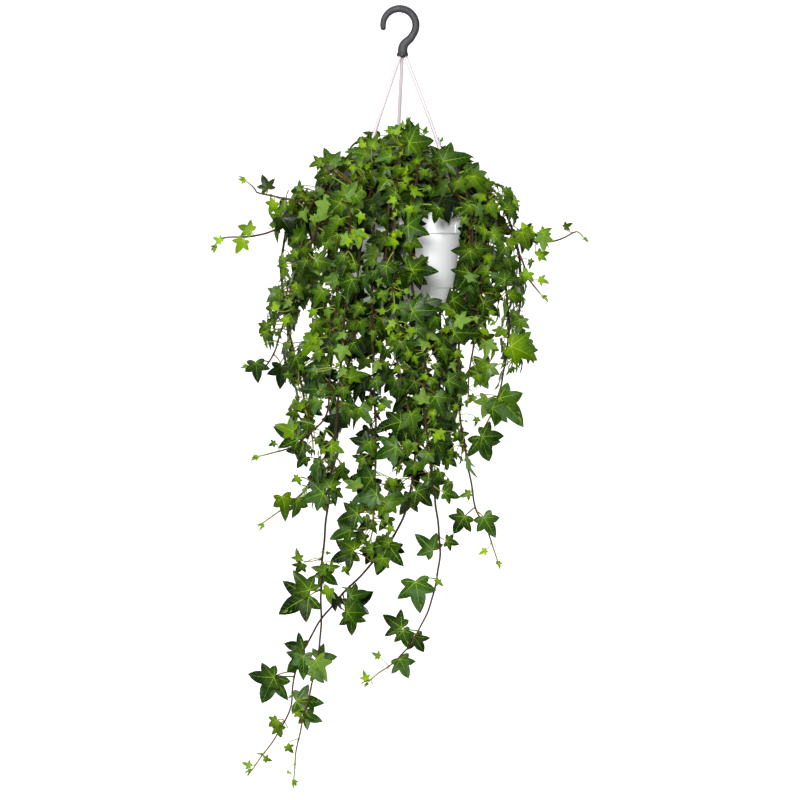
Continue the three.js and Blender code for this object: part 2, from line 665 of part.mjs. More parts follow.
/** The stops along a stem where it needs a ring: its ends, its bends and both sides of each stalk. */
function stemStops(line, leaves) {
  const reach = STALK_HEIGHT / 2 / LINE_STEP;
  const stops = leaves.flatMap((leaf) => [{ at: leaf.step - reach, leaf }, { at: leaf.step + reach }]);
  const heading = (step) => line[step + 1].clone().sub(line[step]).normalize();
  let last = { step: 0, way: heading(0) };
  for (let step = 1; step < line.length - 1; step += 1) {
    const carries = leaves.some((leaf) => leaf.step === step);
    const bent = heading(step).dot(last.way) < Math.cos(BEND_LIMIT);
    if (carries || bent || step - last.step > LONGEST_RUN) last = { step, way: heading(step) };
    if (last.step === step && !carries) stops.push({ at: step });
  }
  stops.push({ at: 0 }, { at: line.length - 1 });
  return stops.sort((a, b) => a.at - b.at);
}

/** The point at a fractional step of a line. */
function pointAt(line, at) {
  const step = clamp(Math.floor(at), 0, line.length - 2);
  return line[step].clone().lerp(line[step + 1], at - step);
}

/** Adds one stem with its stalks and blades, as one skin without seams. */
function addStem(surface, line, leaves, radiusAt) {
  const stops = stemStops(line, leaves);
  const points = stops.map(({ at }) => pointAt(line, at));
  const radii = stops.map(({ at }) => radiusAt(at / (line.length - 1)));
  const rings = tubeRings(points, radii, STEM_SIDES).map((ring) => surface.addPoints(ring));
  for (let ring = 0; ring < rings.length - 1; ring += 1) {
    const { leaf } = stops[ring];
    const side = leaf ? facingSide(surface, rings[ring], rings[ring + 1], leaf) : -1;
    for (let index = 0; index < STEM_SIDES; index += 1) {
      const next = (index + 1) % STEM_SIDES;
      const corners = [rings[ring][index], rings[ring][next], rings[ring + 1][next], rings[ring + 1][index]];
      if (index === side) addStalk(surface, corners, addBlade(surface, leaf));
      else surface.addFace(...corners);
    }
  }
  surface.addFace(...[...rings[0]].reverse());
  surface.addFace(...rings.at(-1));
}

/** The side of a stem between two rings that looks most towards a leaf. */
function facingSide(surface, lower, upper, leaf) {
  const lookAt = (index) => {
    const next = (index + 1) % STEM_SIDES;
    const corners = [lower[index], lower[next], upper[index]].map((corner) => surface.points[corner]);
    const out = corners[1].clone().sub(corners[0]).cross(corners[2].clone().sub(corners[0])).normalize();
    return out.dot(leaf.base.clone().sub(corners[0]).normalize());
  };
  return [...lower.keys()].reduce((best, index) => (lookAt(index) > lookAt(best) ? index : best));
}

/** One stem with its leaves, and its branch if it has one, as one body. */
function vineSolid(vine, leaves) {
  const stems = [vine.line, vine.branchLine].filter((line) => line.length).map((line, index) => {
    const surface = new Surface();
    const thick = index ? BRANCH_RADIUS : STEM_BASE_RADIUS;
    const own = leaves.filter((leaf) => leaf.line === line);
    addStem(surface, line, own, (share) => lerp(thick, STEM_TIP_RADIUS, share));
    return surface.solid();
  });
  return wasm.Manifold.union(stems);
}

/** The closed solids of a leaf's blade and of the free part of its stalk. */
function leafSolids(leaf) {
  const surface = new Surface();
  const open = addBlade(surface, leaf);
  const end = open.map((corner) => surface.points[corner]);
  surface.addFace(...open);
  const way = leaf.base.clone().sub(leaf.stemPoint).normalize();
  const from = leaf.stemPoint.clone().addScaledVector(way, STEM_BASE_RADIUS + 0.8);
  const shift = from.sub(leaf.base);
  const start = end.map((point) => point.clone().add(shift));
  return { leaf, blade: surface.solid(), stalk: loft([start, end]) };
}

/** Whether two solids come closer than the gap that separate pieces keep. */
function tooClose(a, b, gap) {
  const [one, other] = [a.boundingBox(), b.boundingBox()];
  const boxesNear = [0, 1, 2].every((axis) => (
    one.min[axis] - gap < other.max[axis] && other.min[axis] - gap < one.max[axis]));
  return boxesNear && a.minGap(b, 2 * gap) < gap;
}

/** The leaves of each stem without the few that come too close to another leaf, stem or the holder. */
function leavesThatFit(vines, holder) {
  const solids = holder.map((solid) => ({ solid, owner: null }));
  vines.forEach((vine) => solids.push({ solid: vineSolid(vine, []), owner: vine, isStem: true }));
  return vines.map((vine) => vine.leaves.map(leafSolids).filter(({ blade, stalk }) => {
    const crosses = solids.some(({ solid, owner, isStem }) => (
      tooClose(blade, solid, NODE_GAP) || (!(isStem && owner === vine) && tooClose(stalk, solid, NODE_GAP))));
    if (!crosses) solids.push({ solid: blade, owner: vine }, { solid: stalk, owner: vine });
    return !crosses;
  }).map(({ leaf }) => leaf));
}

/** The pot: a turned shell with a rim band of raised panels and three windows for the arms' clips. */
function potSolid() {
  const base = RIM_Z - POT_HEIGHT;
  const bandFoot = RIM_Z - BAND_HEIGHT;
  const footTop = base + FOOT_HEIGHT;
  const profile = [
    [0, base], [FOOT_BASE_RADIUS, base], [FOOT_BASE_RADIUS + 0.4, base + 2.4],
    [FOOT_TOP_RADIUS, footTop - GROOVE], [FOOT_TOP_RADIUS - 0.6, footTop],
    [BODY_FOOT_RADIUS, footTop + 0.6], [BODY_TOP_RADIUS, bandFoot - GROOVE],
    [BODY_TOP_RADIUS - 0.6, bandFoot - 0.4], [RIM_RADIUS - PANEL_RELIEF, bandFoot],
    [RIM_RADIUS - PANEL_RELIEF, RIM_Z - 1.5], [RIM_RADIUS, RIM_Z - 1.2], [RIM_RADIUS, RIM_Z],
    [RIM_RADIUS - PANEL_RELIEF - WALL, RIM_Z], [RIM_RADIUS - PANEL_RELIEF - WALL, bandFoot + 1.5],
    [BODY_TOP_RADIUS - WALL, bandFoot - 2.5], [BODY_FOOT_RADIUS - WALL, footTop - 0.5],
    [FOOT_TOP_RADIUS - WALL, footTop - 2], [FOOT_BASE_RADIUS - WALL + 0.6, base + WALL], [0, base + WALL],
  ];
  const shell = new THREE.LatheGeometry(profile.map(([x, y]) => new THREE.Vector2(x, y)), POT_SIDES);
  let pot = solidOfGeometry(shell.rotateX(Math.PI / 2));
  for (let index = 0; index < PANEL_COUNT; index += 1) {
    pot = pot.add(panelSolid(rad(-23) + index * 2 * Math.PI / PANEL_COUNT));
  }
  Object.values(ARM_AZIMUTHS).forEach((azimuth) => {
    const { z } = ARM_FOOT;
    pot = pot.subtract(radialBox(rad(azimuth), RIM_RADIUS - 6, RIM_RADIUS + 3, CLIP_WIDTH + 2 * FIT,
      z - FIT, z + CLIP_THICKNESS + FIT));
  });
  return pot;
}

/** One raised panel of the rim band, with its two upper corners cut off. */
function panelSolid(azimuth) {
  const foot = RIM_Z - BAND_HEIGHT + 1;
  const shares = [-0.5, -0.4, 0, 0.4, 0.5];
  const rings = shares.map((share) => {
    const top = foot + PANEL_HEIGHT - (Math.abs(share) === 0.5 ? 3 : 0);
    const angle = azimuth + share * PANEL_ANGLE;
    const [inside, outside] = [RIM_RADIUS - 2, RIM_RADIUS];
    return [polar(inside, angle, foot), polar(outside, angle, foot), polar(outside, angle, top),
      polar(inside, angle, top)];
  });
  return loft(rings);
}

/** A box along a radius, from one radius to another and from one height to another. */
function radialBox(azimuth, fromRadius, toRadius, width, fromZ, toZ) {
  const box = new THREE.BoxGeometry(toRadius - fromRadius, width, toZ - fromZ);
  box.translate((fromRadius + toRadius) / 2, 0, (fromZ + toZ) / 2);
  return solidOfGeometry(box.rotateZ(azimuth));
}

/** The soil: a plug that follows the pot's inside with a small gap, with a hole for each stem. */
function soilSolid(vines) {
  const bandFoot = RIM_Z - BAND_HEIGHT;
  const wall = BODY_TOP_RADIUS - WALL - 1.5 * FIT;
  const profile = [[0, SOIL_Z - SOIL_DEPTH], [BODY_FOOT_RADIUS - WALL - FIT, SOIL_Z - SOIL_DEPTH],
    [wall, bandFoot - 3], [wall + 0.6, SOIL_Z - 4.5], [wall - 5, SOIL_Z], [0, SOIL_Z]];
  const lathe = new THREE.LatheGeometry(profile.map(([x, y]) => new THREE.Vector2(x, y)), POT_SIDES);
  const holes = vines.map(({ root }) => {
    const hole = new THREE.BoxGeometry(2 * ROOT_HOLE, 2 * ROOT_HOLE, 2 * (ROOT_DEPTH + FIT));
    return solidOfGeometry(hole.translate(root.x, root.y, SOIL_Z));
  });
  return solidOfGeometry(lathe.rotateX(Math.PI / 2)).subtract(wasm.Manifold.union(holes));
}

/** The hook: a ring open at the left, an S-bent neck, a collar and three sockets for the arms. */
function hookSolid() {
  const arc = Array.from({ length: 15 }, (_, index) => {
    const turn = rad(lerp(189, -34, index / 14));
    const spoke = vec(RING_RADIUS * Math.cos(turn), 0, RING_RADIUS * Math.sin(turn));
    return { centre: spoke.add(RING_CENTRE), width: lerp(TIP_WIDTH, HOOK_WIDTH, clamp(index / 6, 0, 1)) };
  });
  arc.unshift({ centre: arc[0].centre.clone().add(vec(0.3, 0, -1.8)), width: TIP_WIDTH * 0.6 });
  const neck = [[8.6, -29.4], [3.4, -34], [0.6, -39], [0, COLLAR_TOP_Z - 1]]
    .map(([x, z], index) => (
      { centre: vec(x, 0, z), width: lerp(HOOK_WIDTH, NECK_WIDTH, (index + 1) / 4) }));
  const path = [...arc, ...neck];
  const rings = path.map(({ centre, width }, index) => {
    const before = path[Math.max(index - 1, 0)].centre;
    const after = path[Math.min(index + 1, path.length - 1)].centre;
    const along = after.clone().sub(before).normalize();
    const depth = Math.min(HOOK_DEPTH, width);
    const [halfWidth, halfDepth] = [width, depth].map((size) => 1.06 * size / 2);
    return ellipseRing(centre, along.clone().cross(FRONT), FRONT, halfWidth, halfDepth, 8);
  });
  const nib = loft([-HOOK_DEPTH * 0.3, HOOK_DEPTH * 0.3].map((y) => (
    [vec(-2.4, y, 2.6), vec(0, y, 0), vec(2.4, y, 2.6)])));
  const crest = RING_CENTRE.z + RING_RADIUS + HOOK_WIDTH / 2;
  const seam = new THREE.BoxGeometry(1, HOOK_DEPTH * 0.9, 2.2).translate(-2, 0, crest - 0.4);
  const collar = new THREE.CylinderGeometry(COLLAR_RADIUS, COLLAR_RADIUS, COLLAR_HEIGHT, 20)
    .rotateX(Math.PI / 2).translate(0, 0, COLLAR_TOP_Z - COLLAR_HEIGHT / 2);
  const lugs = Object.values(ARM_AZIMUTHS).map((azimuth) => {
    const [start, way] = armStart(rad(azimuth));
    const ends = [-1, LUG_LENGTH].map((reach) => start.clone().addScaledVector(way, reach));
    return rod(ends, LUG_RADIUS, 8);
  });
  const sockets = Object.values(ARM_AZIMUTHS).map((azimuth) => {
    const [start, way] = armStart(rad(azimuth));
    const ends = [-FIT, LUG_LENGTH + 4].map((reach) => start.clone().addScaledVector(way, reach));
    return rod(ends, ARM_RADIUS + FIT, 8);
  });
  const body = wasm.Manifold.union([loft(rings), nib, ...[seam, collar].map(solidOfGeometry), ...lugs]);
  return body.subtract(wasm.Manifold.union(sockets));
}

/** Where an arm starts inside the collar, and the way it leaves. */
function armStart(azimuth) {
  const start = polar(ARM_TOP.radius, azimuth, ARM_TOP.z);
  const way = armLine(azimuth)[1].clone().sub(start).normalize();
  return [start, way];
}

/** The centre line of an arm, bowed a little outwards, down to inside the rim. */
function armLine(azimuth) {
  return Array.from({ length: 9 }, (_, index) => {
    const share = index / 8;
    const radius = lerp(ARM_TOP.radius, ARM_FOOT.radius - 1.5, share) + ARM_BOW * Math.sin(Math.PI * share);
    return polar(radius, azimuth, lerp(ARM_TOP.z, ARM_FOOT.z, share));
  });
}

/** One arm: a slim rod with a clip at its foot that passes out through the rim and turns up. */
function armSolid(azimuth) {
  const stem = rod(armLine(azimuth), ARM_RADIUS, 8);
  const { z } = ARM_FOOT;
  const outside = RIM_RADIUS + FIT;
  const [tongueStart, tongueEnd] = [ARM_FOOT.radius - 3.4, outside + CLIP_THICKNESS];
  const tongue = radialBox(azimuth, tongueStart, tongueEnd, CLIP_WIDTH, z, z + CLIP_THICKNESS);
  const clip = [outside, outside + CLIP_THICKNESS].map((radius) => (
    [[-1, 0], [1, 0], [1, 0.5], [0, 1], [-1, 0.5]].map(([across, up]) => (
      polar(radius, azimuth, z + CLIP_THICKNESS / 2 + up * CLIP_RISE)
        .add(vec(-Math.sin(azimuth), Math.cos(azimuth), 0).multiplyScalar(across * CLIP_WIDTH / 2))))));
  return wasm.Manifold.union([stem, tongue, loft(clip)]);
}

const potPlastic = new THREE.MeshStandardMaterial({ color: 0xe1e2e6, roughness: 0.45, metalness: 0 });
const hookPlastic = new THREE.MeshStandardMaterial({ color: 0x48484b, roughness: 0.5, metalness: 0 });
const armPlastic = new THREE.MeshStandardMaterial({ color: 0xe6dfdc, roughness: 0.35, metalness: 0 });
const pottingSoil = new THREE.MeshStandardMaterial({ color: 0x33261c, roughness: 0.95, metalness: 0 });
const ivyLeaf = new THREE.MeshStandardMaterial({ color: 0x2f6e1e, roughness: 0.4, metalness: 0 });

const vines = plantedVines();
growLeaves(vines);
const holder = {
  pot: [potSolid(), potPlastic],
  soil: [soilSolid(vines), pottingSoil],
  hook: [hookSolid(), hookPlastic],
};
Object.entries(ARM_AZIMUTHS).forEach(([name, azimuth]) => {
  holder[name] = [armSolid(rad(azimuth)), armPlastic];
});
const fitting = leavesThatFit(vines, Object.values(holder).map(([solid]) => solid));

const group = new THREE.Group();
Object.entries(holder).forEach(([name, [solid, material]]) => group.add(meshOf(name, solid, material)));
vines.forEach((vine, index) => group.add(meshOf(vine.name, vineSolid(vine, fitting[index]), ivyLeaf)));
export default group;
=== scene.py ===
"""Looks of a hanging pot of trailing English ivy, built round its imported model.

The holder (pot, soil, hook and three arms) and every leafy stem get a finer piece that keeps the form and the
place of its solid. The stems and their first leaves follow the same traced routes and seeded rules as the
solids do; more leaves, tips and buds are then grown on them. Sizes are in millimetres, save the studio's,
which are in metres. +Z is up, the front looks to -Y, and the origin is the tip of the nib inside the hook's
crest.
"""

from __future__ import annotations

import logging
import math
from dataclasses import dataclass, field
from enum import Enum
from typing import Any, Sequence

import bpy
import numpy as np
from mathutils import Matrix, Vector

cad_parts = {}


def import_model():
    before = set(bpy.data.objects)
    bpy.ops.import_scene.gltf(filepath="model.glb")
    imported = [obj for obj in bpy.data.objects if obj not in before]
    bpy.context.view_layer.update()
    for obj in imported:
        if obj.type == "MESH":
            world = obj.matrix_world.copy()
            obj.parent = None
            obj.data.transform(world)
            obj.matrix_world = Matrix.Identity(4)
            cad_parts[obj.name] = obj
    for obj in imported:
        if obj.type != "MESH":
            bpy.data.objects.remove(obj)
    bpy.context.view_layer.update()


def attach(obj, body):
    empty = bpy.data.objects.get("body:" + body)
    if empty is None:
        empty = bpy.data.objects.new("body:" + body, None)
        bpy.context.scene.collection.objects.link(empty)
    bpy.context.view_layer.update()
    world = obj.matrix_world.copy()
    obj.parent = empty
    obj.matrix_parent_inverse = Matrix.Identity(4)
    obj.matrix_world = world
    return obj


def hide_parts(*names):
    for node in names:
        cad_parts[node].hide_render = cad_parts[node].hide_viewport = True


LOG = logging.getLogger("ivy")
MM = 0.001
UP = np.array([0.0, 0.0, 1.0])
BACKWARD = np.array([0.0, 1.0, 0.0])
ROOT_BODY = "root"
Array = np.ndarray
Random = np.random.Generator
Colour = tuple[float, float, float]
Shape = tuple[Array, list[Array]]
Piece = bpy.types.Object
Material = bpy.types.Material
Socket = bpy.types.NodeSocket


def lerp(start: Any, end: Any, share: Any) -> Any:
    """Value between two values, by a share from 0 to 1."""
    return start + (end - start) * share


def unit(vectors: Array) -> Array:
    """Vectors along the last axis, brought to length 1."""
    return vectors / np.maximum(np.linalg.norm(vectors, axis=-1, keepdims=True), 1e-9)


def polar(radius: Any, azimuth: Any, height: Any) -> Array:
    """Points at radii and heights, and at azimuths in radians from +X towards +Y."""
    return np.stack(np.broadcast_arrays(radius * np.cos(azimuth), radius * np.sin(azimuth), height), axis=-1)


def around(steps: int) -> Array:
    """Azimuths in radians of even steps round a full turn."""
    return np.arange(steps) / steps * 2.0 * math.pi


def smooth(share: Any) -> Any:
    """Smooth step: 3t² - 2t³ of a share that is held between 0 and 1."""
    held = np.clip(share, 0.0, 1.0)
    return held * held * (3.0 - 2.0 * held)


def srgb(*steps: int) -> Colour:
    """Linear red, green and blue of a screen colour in steps of 0 to 255, by its transfer curve."""
    shares = [step / 255.0 for step in steps]
    return tuple(share / 12.92 if share <= 0.04045 else ((share + 0.055) / 1.055) ** 2.4 for share in shares)


class Value:
    """A number that varies over a surface: a socket with the operators of plain maths."""

    def __init__(self, graph: Graph, socket: Socket) -> None:
        """Holds an output socket and the graph that its maths is added to."""
        self.graph = graph
        self.socket = socket

    def _math(self, operation: str, *values: Any) -> Value:
        """Adds a Math node for values and returns its result."""
        return self.graph.value("Math", dict(zip(("Value", "Value_001"), values)), operation=operation)

    def __add__(self, other: Any) -> Value:
        """Sum."""
        return self._math("ADD", self, other)

    def __sub__(self, other: Any) -> Value:
        """Difference."""
        return self._math("SUBTRACT", self, other)

    def __rsub__(self, other: Any) -> Value:
        """Difference from a number."""
        return self._math("SUBTRACT", other, self)

    def __mul__(self, other: Any) -> Value:
        """Product."""
        return self._math("MULTIPLY", self, other)

    def __truediv__(self, other: Any) -> Value:
        """Quotient."""
        return self._math("DIVIDE", self, other)

    def __gt__(self, other: Any) -> Value:
        """1 where this is the greater, 0 elsewhere."""
        return self._math("GREATER_THAN", self, other)

    __radd__ = __add__
    __rmul__ = __mul__

    def size(self) -> Value:
        """Value without its sign."""
        return self._math("ABSOLUTE", self)

    def fraction(self) -> Value:
        """Part after the decimal point."""
        return self._math("FRACT", self)

    def turn_from(self, other: Value) -> Value:
        """Angle in degrees whose tangent is this over the other."""
        return self._math("ARCTAN2", self, other) * (180.0 / math.pi)

    def most(self, other: Any) -> Value:
        """Greater of two."""
        return self._math("MAXIMUM", self, other)

    def least(self, other: Any) -> Value:
        """Smaller of two."""
        return self._math("MINIMUM", self, other)

    def ramp(self, low: Any, high: Any) -> Value:
        """Smooth rise from 0 at low to 1 at high, or a fall where low is the greater."""
        values = {"Value": self, "From Min": low, "From Max": high}
        return self.graph.value("MapRange", values, interpolation_type="SMOOTHSTEP")


class Graph:
    """A material's nodes, with one method that adds any of them."""

    def __init__(self, name: str) -> None:
        """Makes an empty material."""
        self.material = bpy.data.materials.new(name)
        self.material.use_nodes = True
        self.nodes = self.material.node_tree.nodes
        self.links = self.material.node_tree.links
        self.nodes.clear()

    def node(self, kind: str, values: dict[str, Any] | None = None, **settings: Any) -> bpy.types.Node:
        """Adds a node.

        Args:
            kind: The node's type without its ShaderNode prefix.
            values: What goes to its sockets, by identifier or name: a Value, a socket or a number.
            settings: Its properties, set first; stops are a colour ramp's places and colours.

        Returns:
            The node.
        """
        node = self.nodes.new("ShaderNode" + kind)
        stops = settings.pop("stops", ())
        for name, setting in settings.items():
            setattr(node, name, setting)
        for _ in stops[2:]:
            node.color_ramp.elements.new(1.0)
        for index, (place, colour) in enumerate(stops):
            node.color_ramp.elements[index].position = place
            node.color_ramp.elements[index].color = (*colour, 1.0)
        sockets = {socket.name: socket for socket in reversed(list(node.inputs))}
        sockets.update({socket.identifier: socket for socket in node.inputs})
        for name, value in (values or {}).items():
            if isinstance(value, (Value, Socket)):
                self.links.new(value.socket if isinstance(value, Value) else value, sockets[name])
            else:
                is_colour = isinstance(value, tuple) and sockets[name].type == "RGBA"
                sockets[name].default_value = (*value, 1.0) if is_colour else value
        return node

    def value(self, kind: str, values: dict[str, Any], **settings: Any) -> Value:
        """Adds a node and gives its first output as a number."""
        return Value(self, self.node(kind, values, **settings).outputs[0])

    def mix(self, share: Any, first: Any, second: Any) -> Socket:
        """Colour between two colours or sockets, by the share that the second has."""
        values = {"Factor_Float": share, "A_Color": first, "B_Color": second}
        return self.node("Mix", values, data_type="RGBA").outputs[2]

    def place(self, scale: tuple[float, float, float] = (1.0, 1.0, 1.0)) -> Socket:
        """Object coordinates, stretched by a scale."""
        values = {"Vector": self.node("TexCoord").outputs["Object"], "Scale": scale}
        return self.node("Mapping", values).outputs["Vector"]

    def noise(self, place: Socket, scale: float, detail: float = 3.0) -> Value:
        """Fractal noise of about 0.5, at so many features a metre."""
        values = {"Vector": place, "Scale": scale, "Detail": detail, "Roughness": 0.55}
        return self.value("TexNoise", values)

    def parts(self, vector: Socket) -> tuple[Value, Value, Value]:
        """The three numbers of a vector."""
        return tuple(Value(self, socket) for socket in self.node("SeparateXYZ", {"Vector": vector}).outputs)

    def attribute(self, name: str) -> tuple[Value, Value, Value]:
        """The three numbers of a mesh's own vector attribute."""
        return self.parts(self.node("Attribute", attribute_name=name).outputs["Vector"])

    def bump(self, height: Value, distance: float) -> Socket:
        """Normal that a height in units of a distance gives."""
        values = {"Height": height, "Distance": distance, "Strength": 1.0}
        return self.node("Bump", values).outputs["Normal"]

    def finish(self, **values: Any) -> Material:
        """Ends the material with a Principled surface.

        Args:
            values: The shader's sockets, with underscores for spaces.

        Returns:
            The material.
        """
        named = {name.replace("_", " "): value for name, value in values.items()}
        shader = self.node("BsdfPrincipled", named)
        self.node("OutputMaterial", {"Surface": shader.outputs["BSDF"]})
        return self.material


@dataclass(frozen=True)
class MouldedPlastic:
    """Injection-moulded plastic: an even colour with faint flow clouds and a fine-grained skin."""

    name: str
    colour: Colour
    cloud: Colour
    roughness: float
    grain: float = 900.0
    grain_depth: float = 0.00002
    sheer: float = 0.0
    gloss: float = 0.5

    def material(self) -> Material:
        """Makes the material."""
        graph = Graph(self.name)
        place = graph.place()
        clouds = graph.noise(place, 22.0)
        grain = graph.noise(place, self.grain, 2.0)
        scuffs = graph.noise(graph.place((1.0, 1.0, 0.25)), 160.0, 4.0)
        return graph.finish(
            Base_Color=graph.mix(clouds.ramp(0.35, 0.7), self.colour, self.cloud),
            Roughness=scuffs.ramp(0.3, 0.75) * 0.1 + (self.roughness - 0.05),
            Normal=graph.bump(grain, self.grain_depth),
            Subsurface_Weight=self.sheer,
            Subsurface_Radius=(0.004, 0.0036, 0.0034),
            Specular_IOR_Level=self.gloss,
            IOR=1.49,
        )


@dataclass(frozen=True)
class PottingMix:
    """Dark peat with brown fibres and a few pale grains."""

    peat: Colour = srgb(38, 27, 20)
    fibre: Colour = srgb(92, 66, 44)
    grit: Colour = srgb(176, 168, 150)

    def material(self) -> Material:
        """Makes the material."""
        graph = Graph("potting_mix")
        place = graph.place()
        clods = graph.noise(place, 260.0, 6.0)
        fibres = graph.noise(graph.place((1.0, 3.2, 1.6)), 420.0, 3.0).ramp(0.55, 0.68)
        cells = graph.node("TexVoronoi", {"Vector": place, "Scale": 300.0}, feature="F1")
        pale = Value(graph, cells.outputs["Distance"]).ramp(0.16, 0.1)
        pale = pale * (graph.value("SeparateColor", {"Color": cells.outputs["Color"]}) > 0.86)
        soil = graph.mix(fibres * 0.6, self.peat, self.fibre)
        return graph.finish(
            Base_Color=graph.mix(pale, soil, self.grit),
            Roughness=clods.ramp(0.2, 0.8) * 0.15 + 0.8,
            Normal=graph.bump(clods + fibres * 0.3, 0.0012),
        )


@dataclass(frozen=True)
class IvyBlade:
    """A leaf: dark glossy green over pale veins, lime green when young, grey green underneath.

    The mesh carries two vector attributes. blade is the place on the leaf, as shares of its centre lobe's
    length (x across, y along), with z 0 on top and 1 underneath. growth is x the youth from 0 to 1, y a
    chance number of the leaf, and z how deep it grows among the others, which darkens it as painted shade.
    """

    vein_azimuths: tuple[float, ...] = (0.0, 58.0, 104.0)
    vein_reaches: tuple[float, ...] = (1.0, 0.74, 0.45)
    sinus_azimuths: tuple[float, ...] = (30.0, 82.0)
    vein_width: float = 0.02
    rib_pitch: float = 0.15
    deep: Colour = srgb(6, 22, 1)
    grown: Colour = srgb(24, 53, 2)
    fresh: Colour = srgb(62, 98, 3)
    lime: Colour = srgb(114, 146, 6)
    vein: Colour = srgb(104, 140, 34)
    lime_vein: Colour = srgb(148, 176, 22)
    under: Colour = srgb(86, 114, 44)
    # painted shade: the dark green that leaves deep among the others are mixed towards
    inner: Colour = srgb(3, 13, 1)
    # painted sheen: grey-green patches that stand in for the leaves' gloss highlights
    painted_sheen_colour: Colour = srgb(80, 108, 66)

    def _veins(self, across: Value, along: Value) -> tuple[Value, Value]:
        """The main veins and the ribs that branch from them.

        Each main vein is a line from the petiole's end at its own angle: a point's distance to it is
        |x cos a - y sin a|, and the vein thins out to the lobe's tip. Ribs leave the vein of their own lobe
        at half a right angle, at an even pitch.

        Args:
            across: Distance from the midrib.
            along: Distance along the midrib from the petiole's end.

        Returns:
            Masks of the main veins and of the ribs.
        """
        turn = across.turn_from(along)
        bounds = (-1.0, *self.sinus_azimuths, 200.0)
        veins = across * 0.0
        ribs = across * 0.0
        for index, (azimuth, reach) in enumerate(zip(self.vein_azimuths, self.vein_reaches)):
            sine, cosine = math.sin(math.radians(azimuth)), math.cos(math.radians(azimuth))
            beside = (across * cosine - along * sine).size()
            forward = across * sine + along * cosine
            width = (1.15 - forward / reach) * self.vein_width
            ahead = forward > 0.0
            veins = veins.most(beside.ramp(width.most(0.002), width.most(0.001) * 0.3) * ahead)
            sector = (turn > bounds[index]) * (1.0 - (turn > bounds[index + 1]))
            wave = ((forward - beside * 0.9) / self.rib_pitch).fraction() - 0.5
            line = wave.size().ramp(0.085, 0.02) * beside.ramp(0.26, 0.03) * ahead
            ribs = ribs.most(line * sector)
        return veins, ribs

    def material(self) -> Material:
        """Makes the material."""
        graph = Graph("ivy_blade")
        side, along, below = graph.attribute("blade")
        youth, chance, depth = graph.attribute("growth")
        across = side.size()
        veins, ribs = self._veins(across, along)
        place = graph.place()
        mottle = graph.noise(place, 130.0, 3.0)
        fine = graph.noise(place, 900.0, 2.0)
        centre = (across * across + along * along).ramp(0.3, 0.0)

        mature = graph.mix((mottle * 0.9 + chance * 0.75 - 0.35).ramp(0.1, 0.9), self.deep, self.grown)
        young = graph.mix((chance * 0.8 + centre * 0.4).ramp(0.1, 0.9), self.fresh, self.lime)
        top = graph.mix(youth, mature, young)
        line_colour = graph.mix(youth, self.vein, self.lime_vein)
        strength = veins.most(ribs * 0.34).least(1.0)
        top = graph.mix(strength * 0.8 + centre * 0.12 * (1.0 - youth), top, line_colour)
        under = graph.mix(strength * 0.45, graph.mix(youth * 0.7, self.under, self.fresh), self.lime_vein)
        under = graph.mix(mottle.ramp(0.3, 0.8) * 0.2, under, self.grown)
        # Painted sheen: noise patches on some leaves, mixed to a grey green in place of gloss highlights.
        painted_sheen_mask = graph.noise(place, 45.0, 1.0).ramp(0.5, 0.68) * chance.ramp(0.45, 0.6) * 0.4
        # Painted shade: each leaf is darkened towards the inner colour by how deep it sits among the others.
        top = graph.mix(depth * 0.85, graph.mix(painted_sheen_mask, top, self.painted_sheen_colour), self.inner)
        relief = (fine * 0.25 + mottle * 0.5) - strength * 0.8 * (1.0 - below * 2.0)
        return graph.finish(
            Base_Color=graph.mix(below.ramp(0.4, 0.6), top, under),
            Roughness=mottle.ramp(0.25, 0.8) * 0.14 + below * 0.22 + strength * 0.1 + 0.21,
            Normal=graph.bump(relief, 0.00035),
            Specular_IOR_Level=0.1,
            IOR=1.45,
        )


@dataclass(frozen=True)
class IvyBark:
    """A stem or a petiole: reddish brown where it is old, tan, then green at the tip.

    The mesh's growth attribute has x the greenness from 0 to 1 and y a chance number.
    """

    old: Colour = srgb(38, 24, 13)
    tan: Colour = srgb(84, 56, 27)
    green: Colour = srgb(120, 142, 44)

    def material(self) -> Material:
        """Makes the material."""
        graph = Graph("ivy_bark")
        greenness, chance, _ = graph.attribute("growth")
        streaks = graph.noise(graph.place((1.0, 1.0, 0.18)), 620.0, 4.0)
        knots = graph.noise(graph.place(), 180.0, 2.0)
        age = (greenness + (streaks - 0.5) * 0.35 + (knots - 0.5) * 0.3).ramp(-0.1, 1.1)
        stops = ((0.0, self.old), (0.5, self.tan), (0.85, self.green), (1.0, self.green))
        aged = graph.node("ValToRGB", {"Fac": age}, stops=stops).outputs["Color"]
        return graph.finish(
            Base_Color=graph.mix((streaks + chance * 0.3).ramp(0.62, 0.9) * 0.2, aged, self.tan),
            Roughness=streaks.ramp(0.2, 0.8) * 0.2 + 0.45,
            Normal=graph.bump(streaks + knots, 0.0003),
            Specular_IOR_Level=0.15,
        )


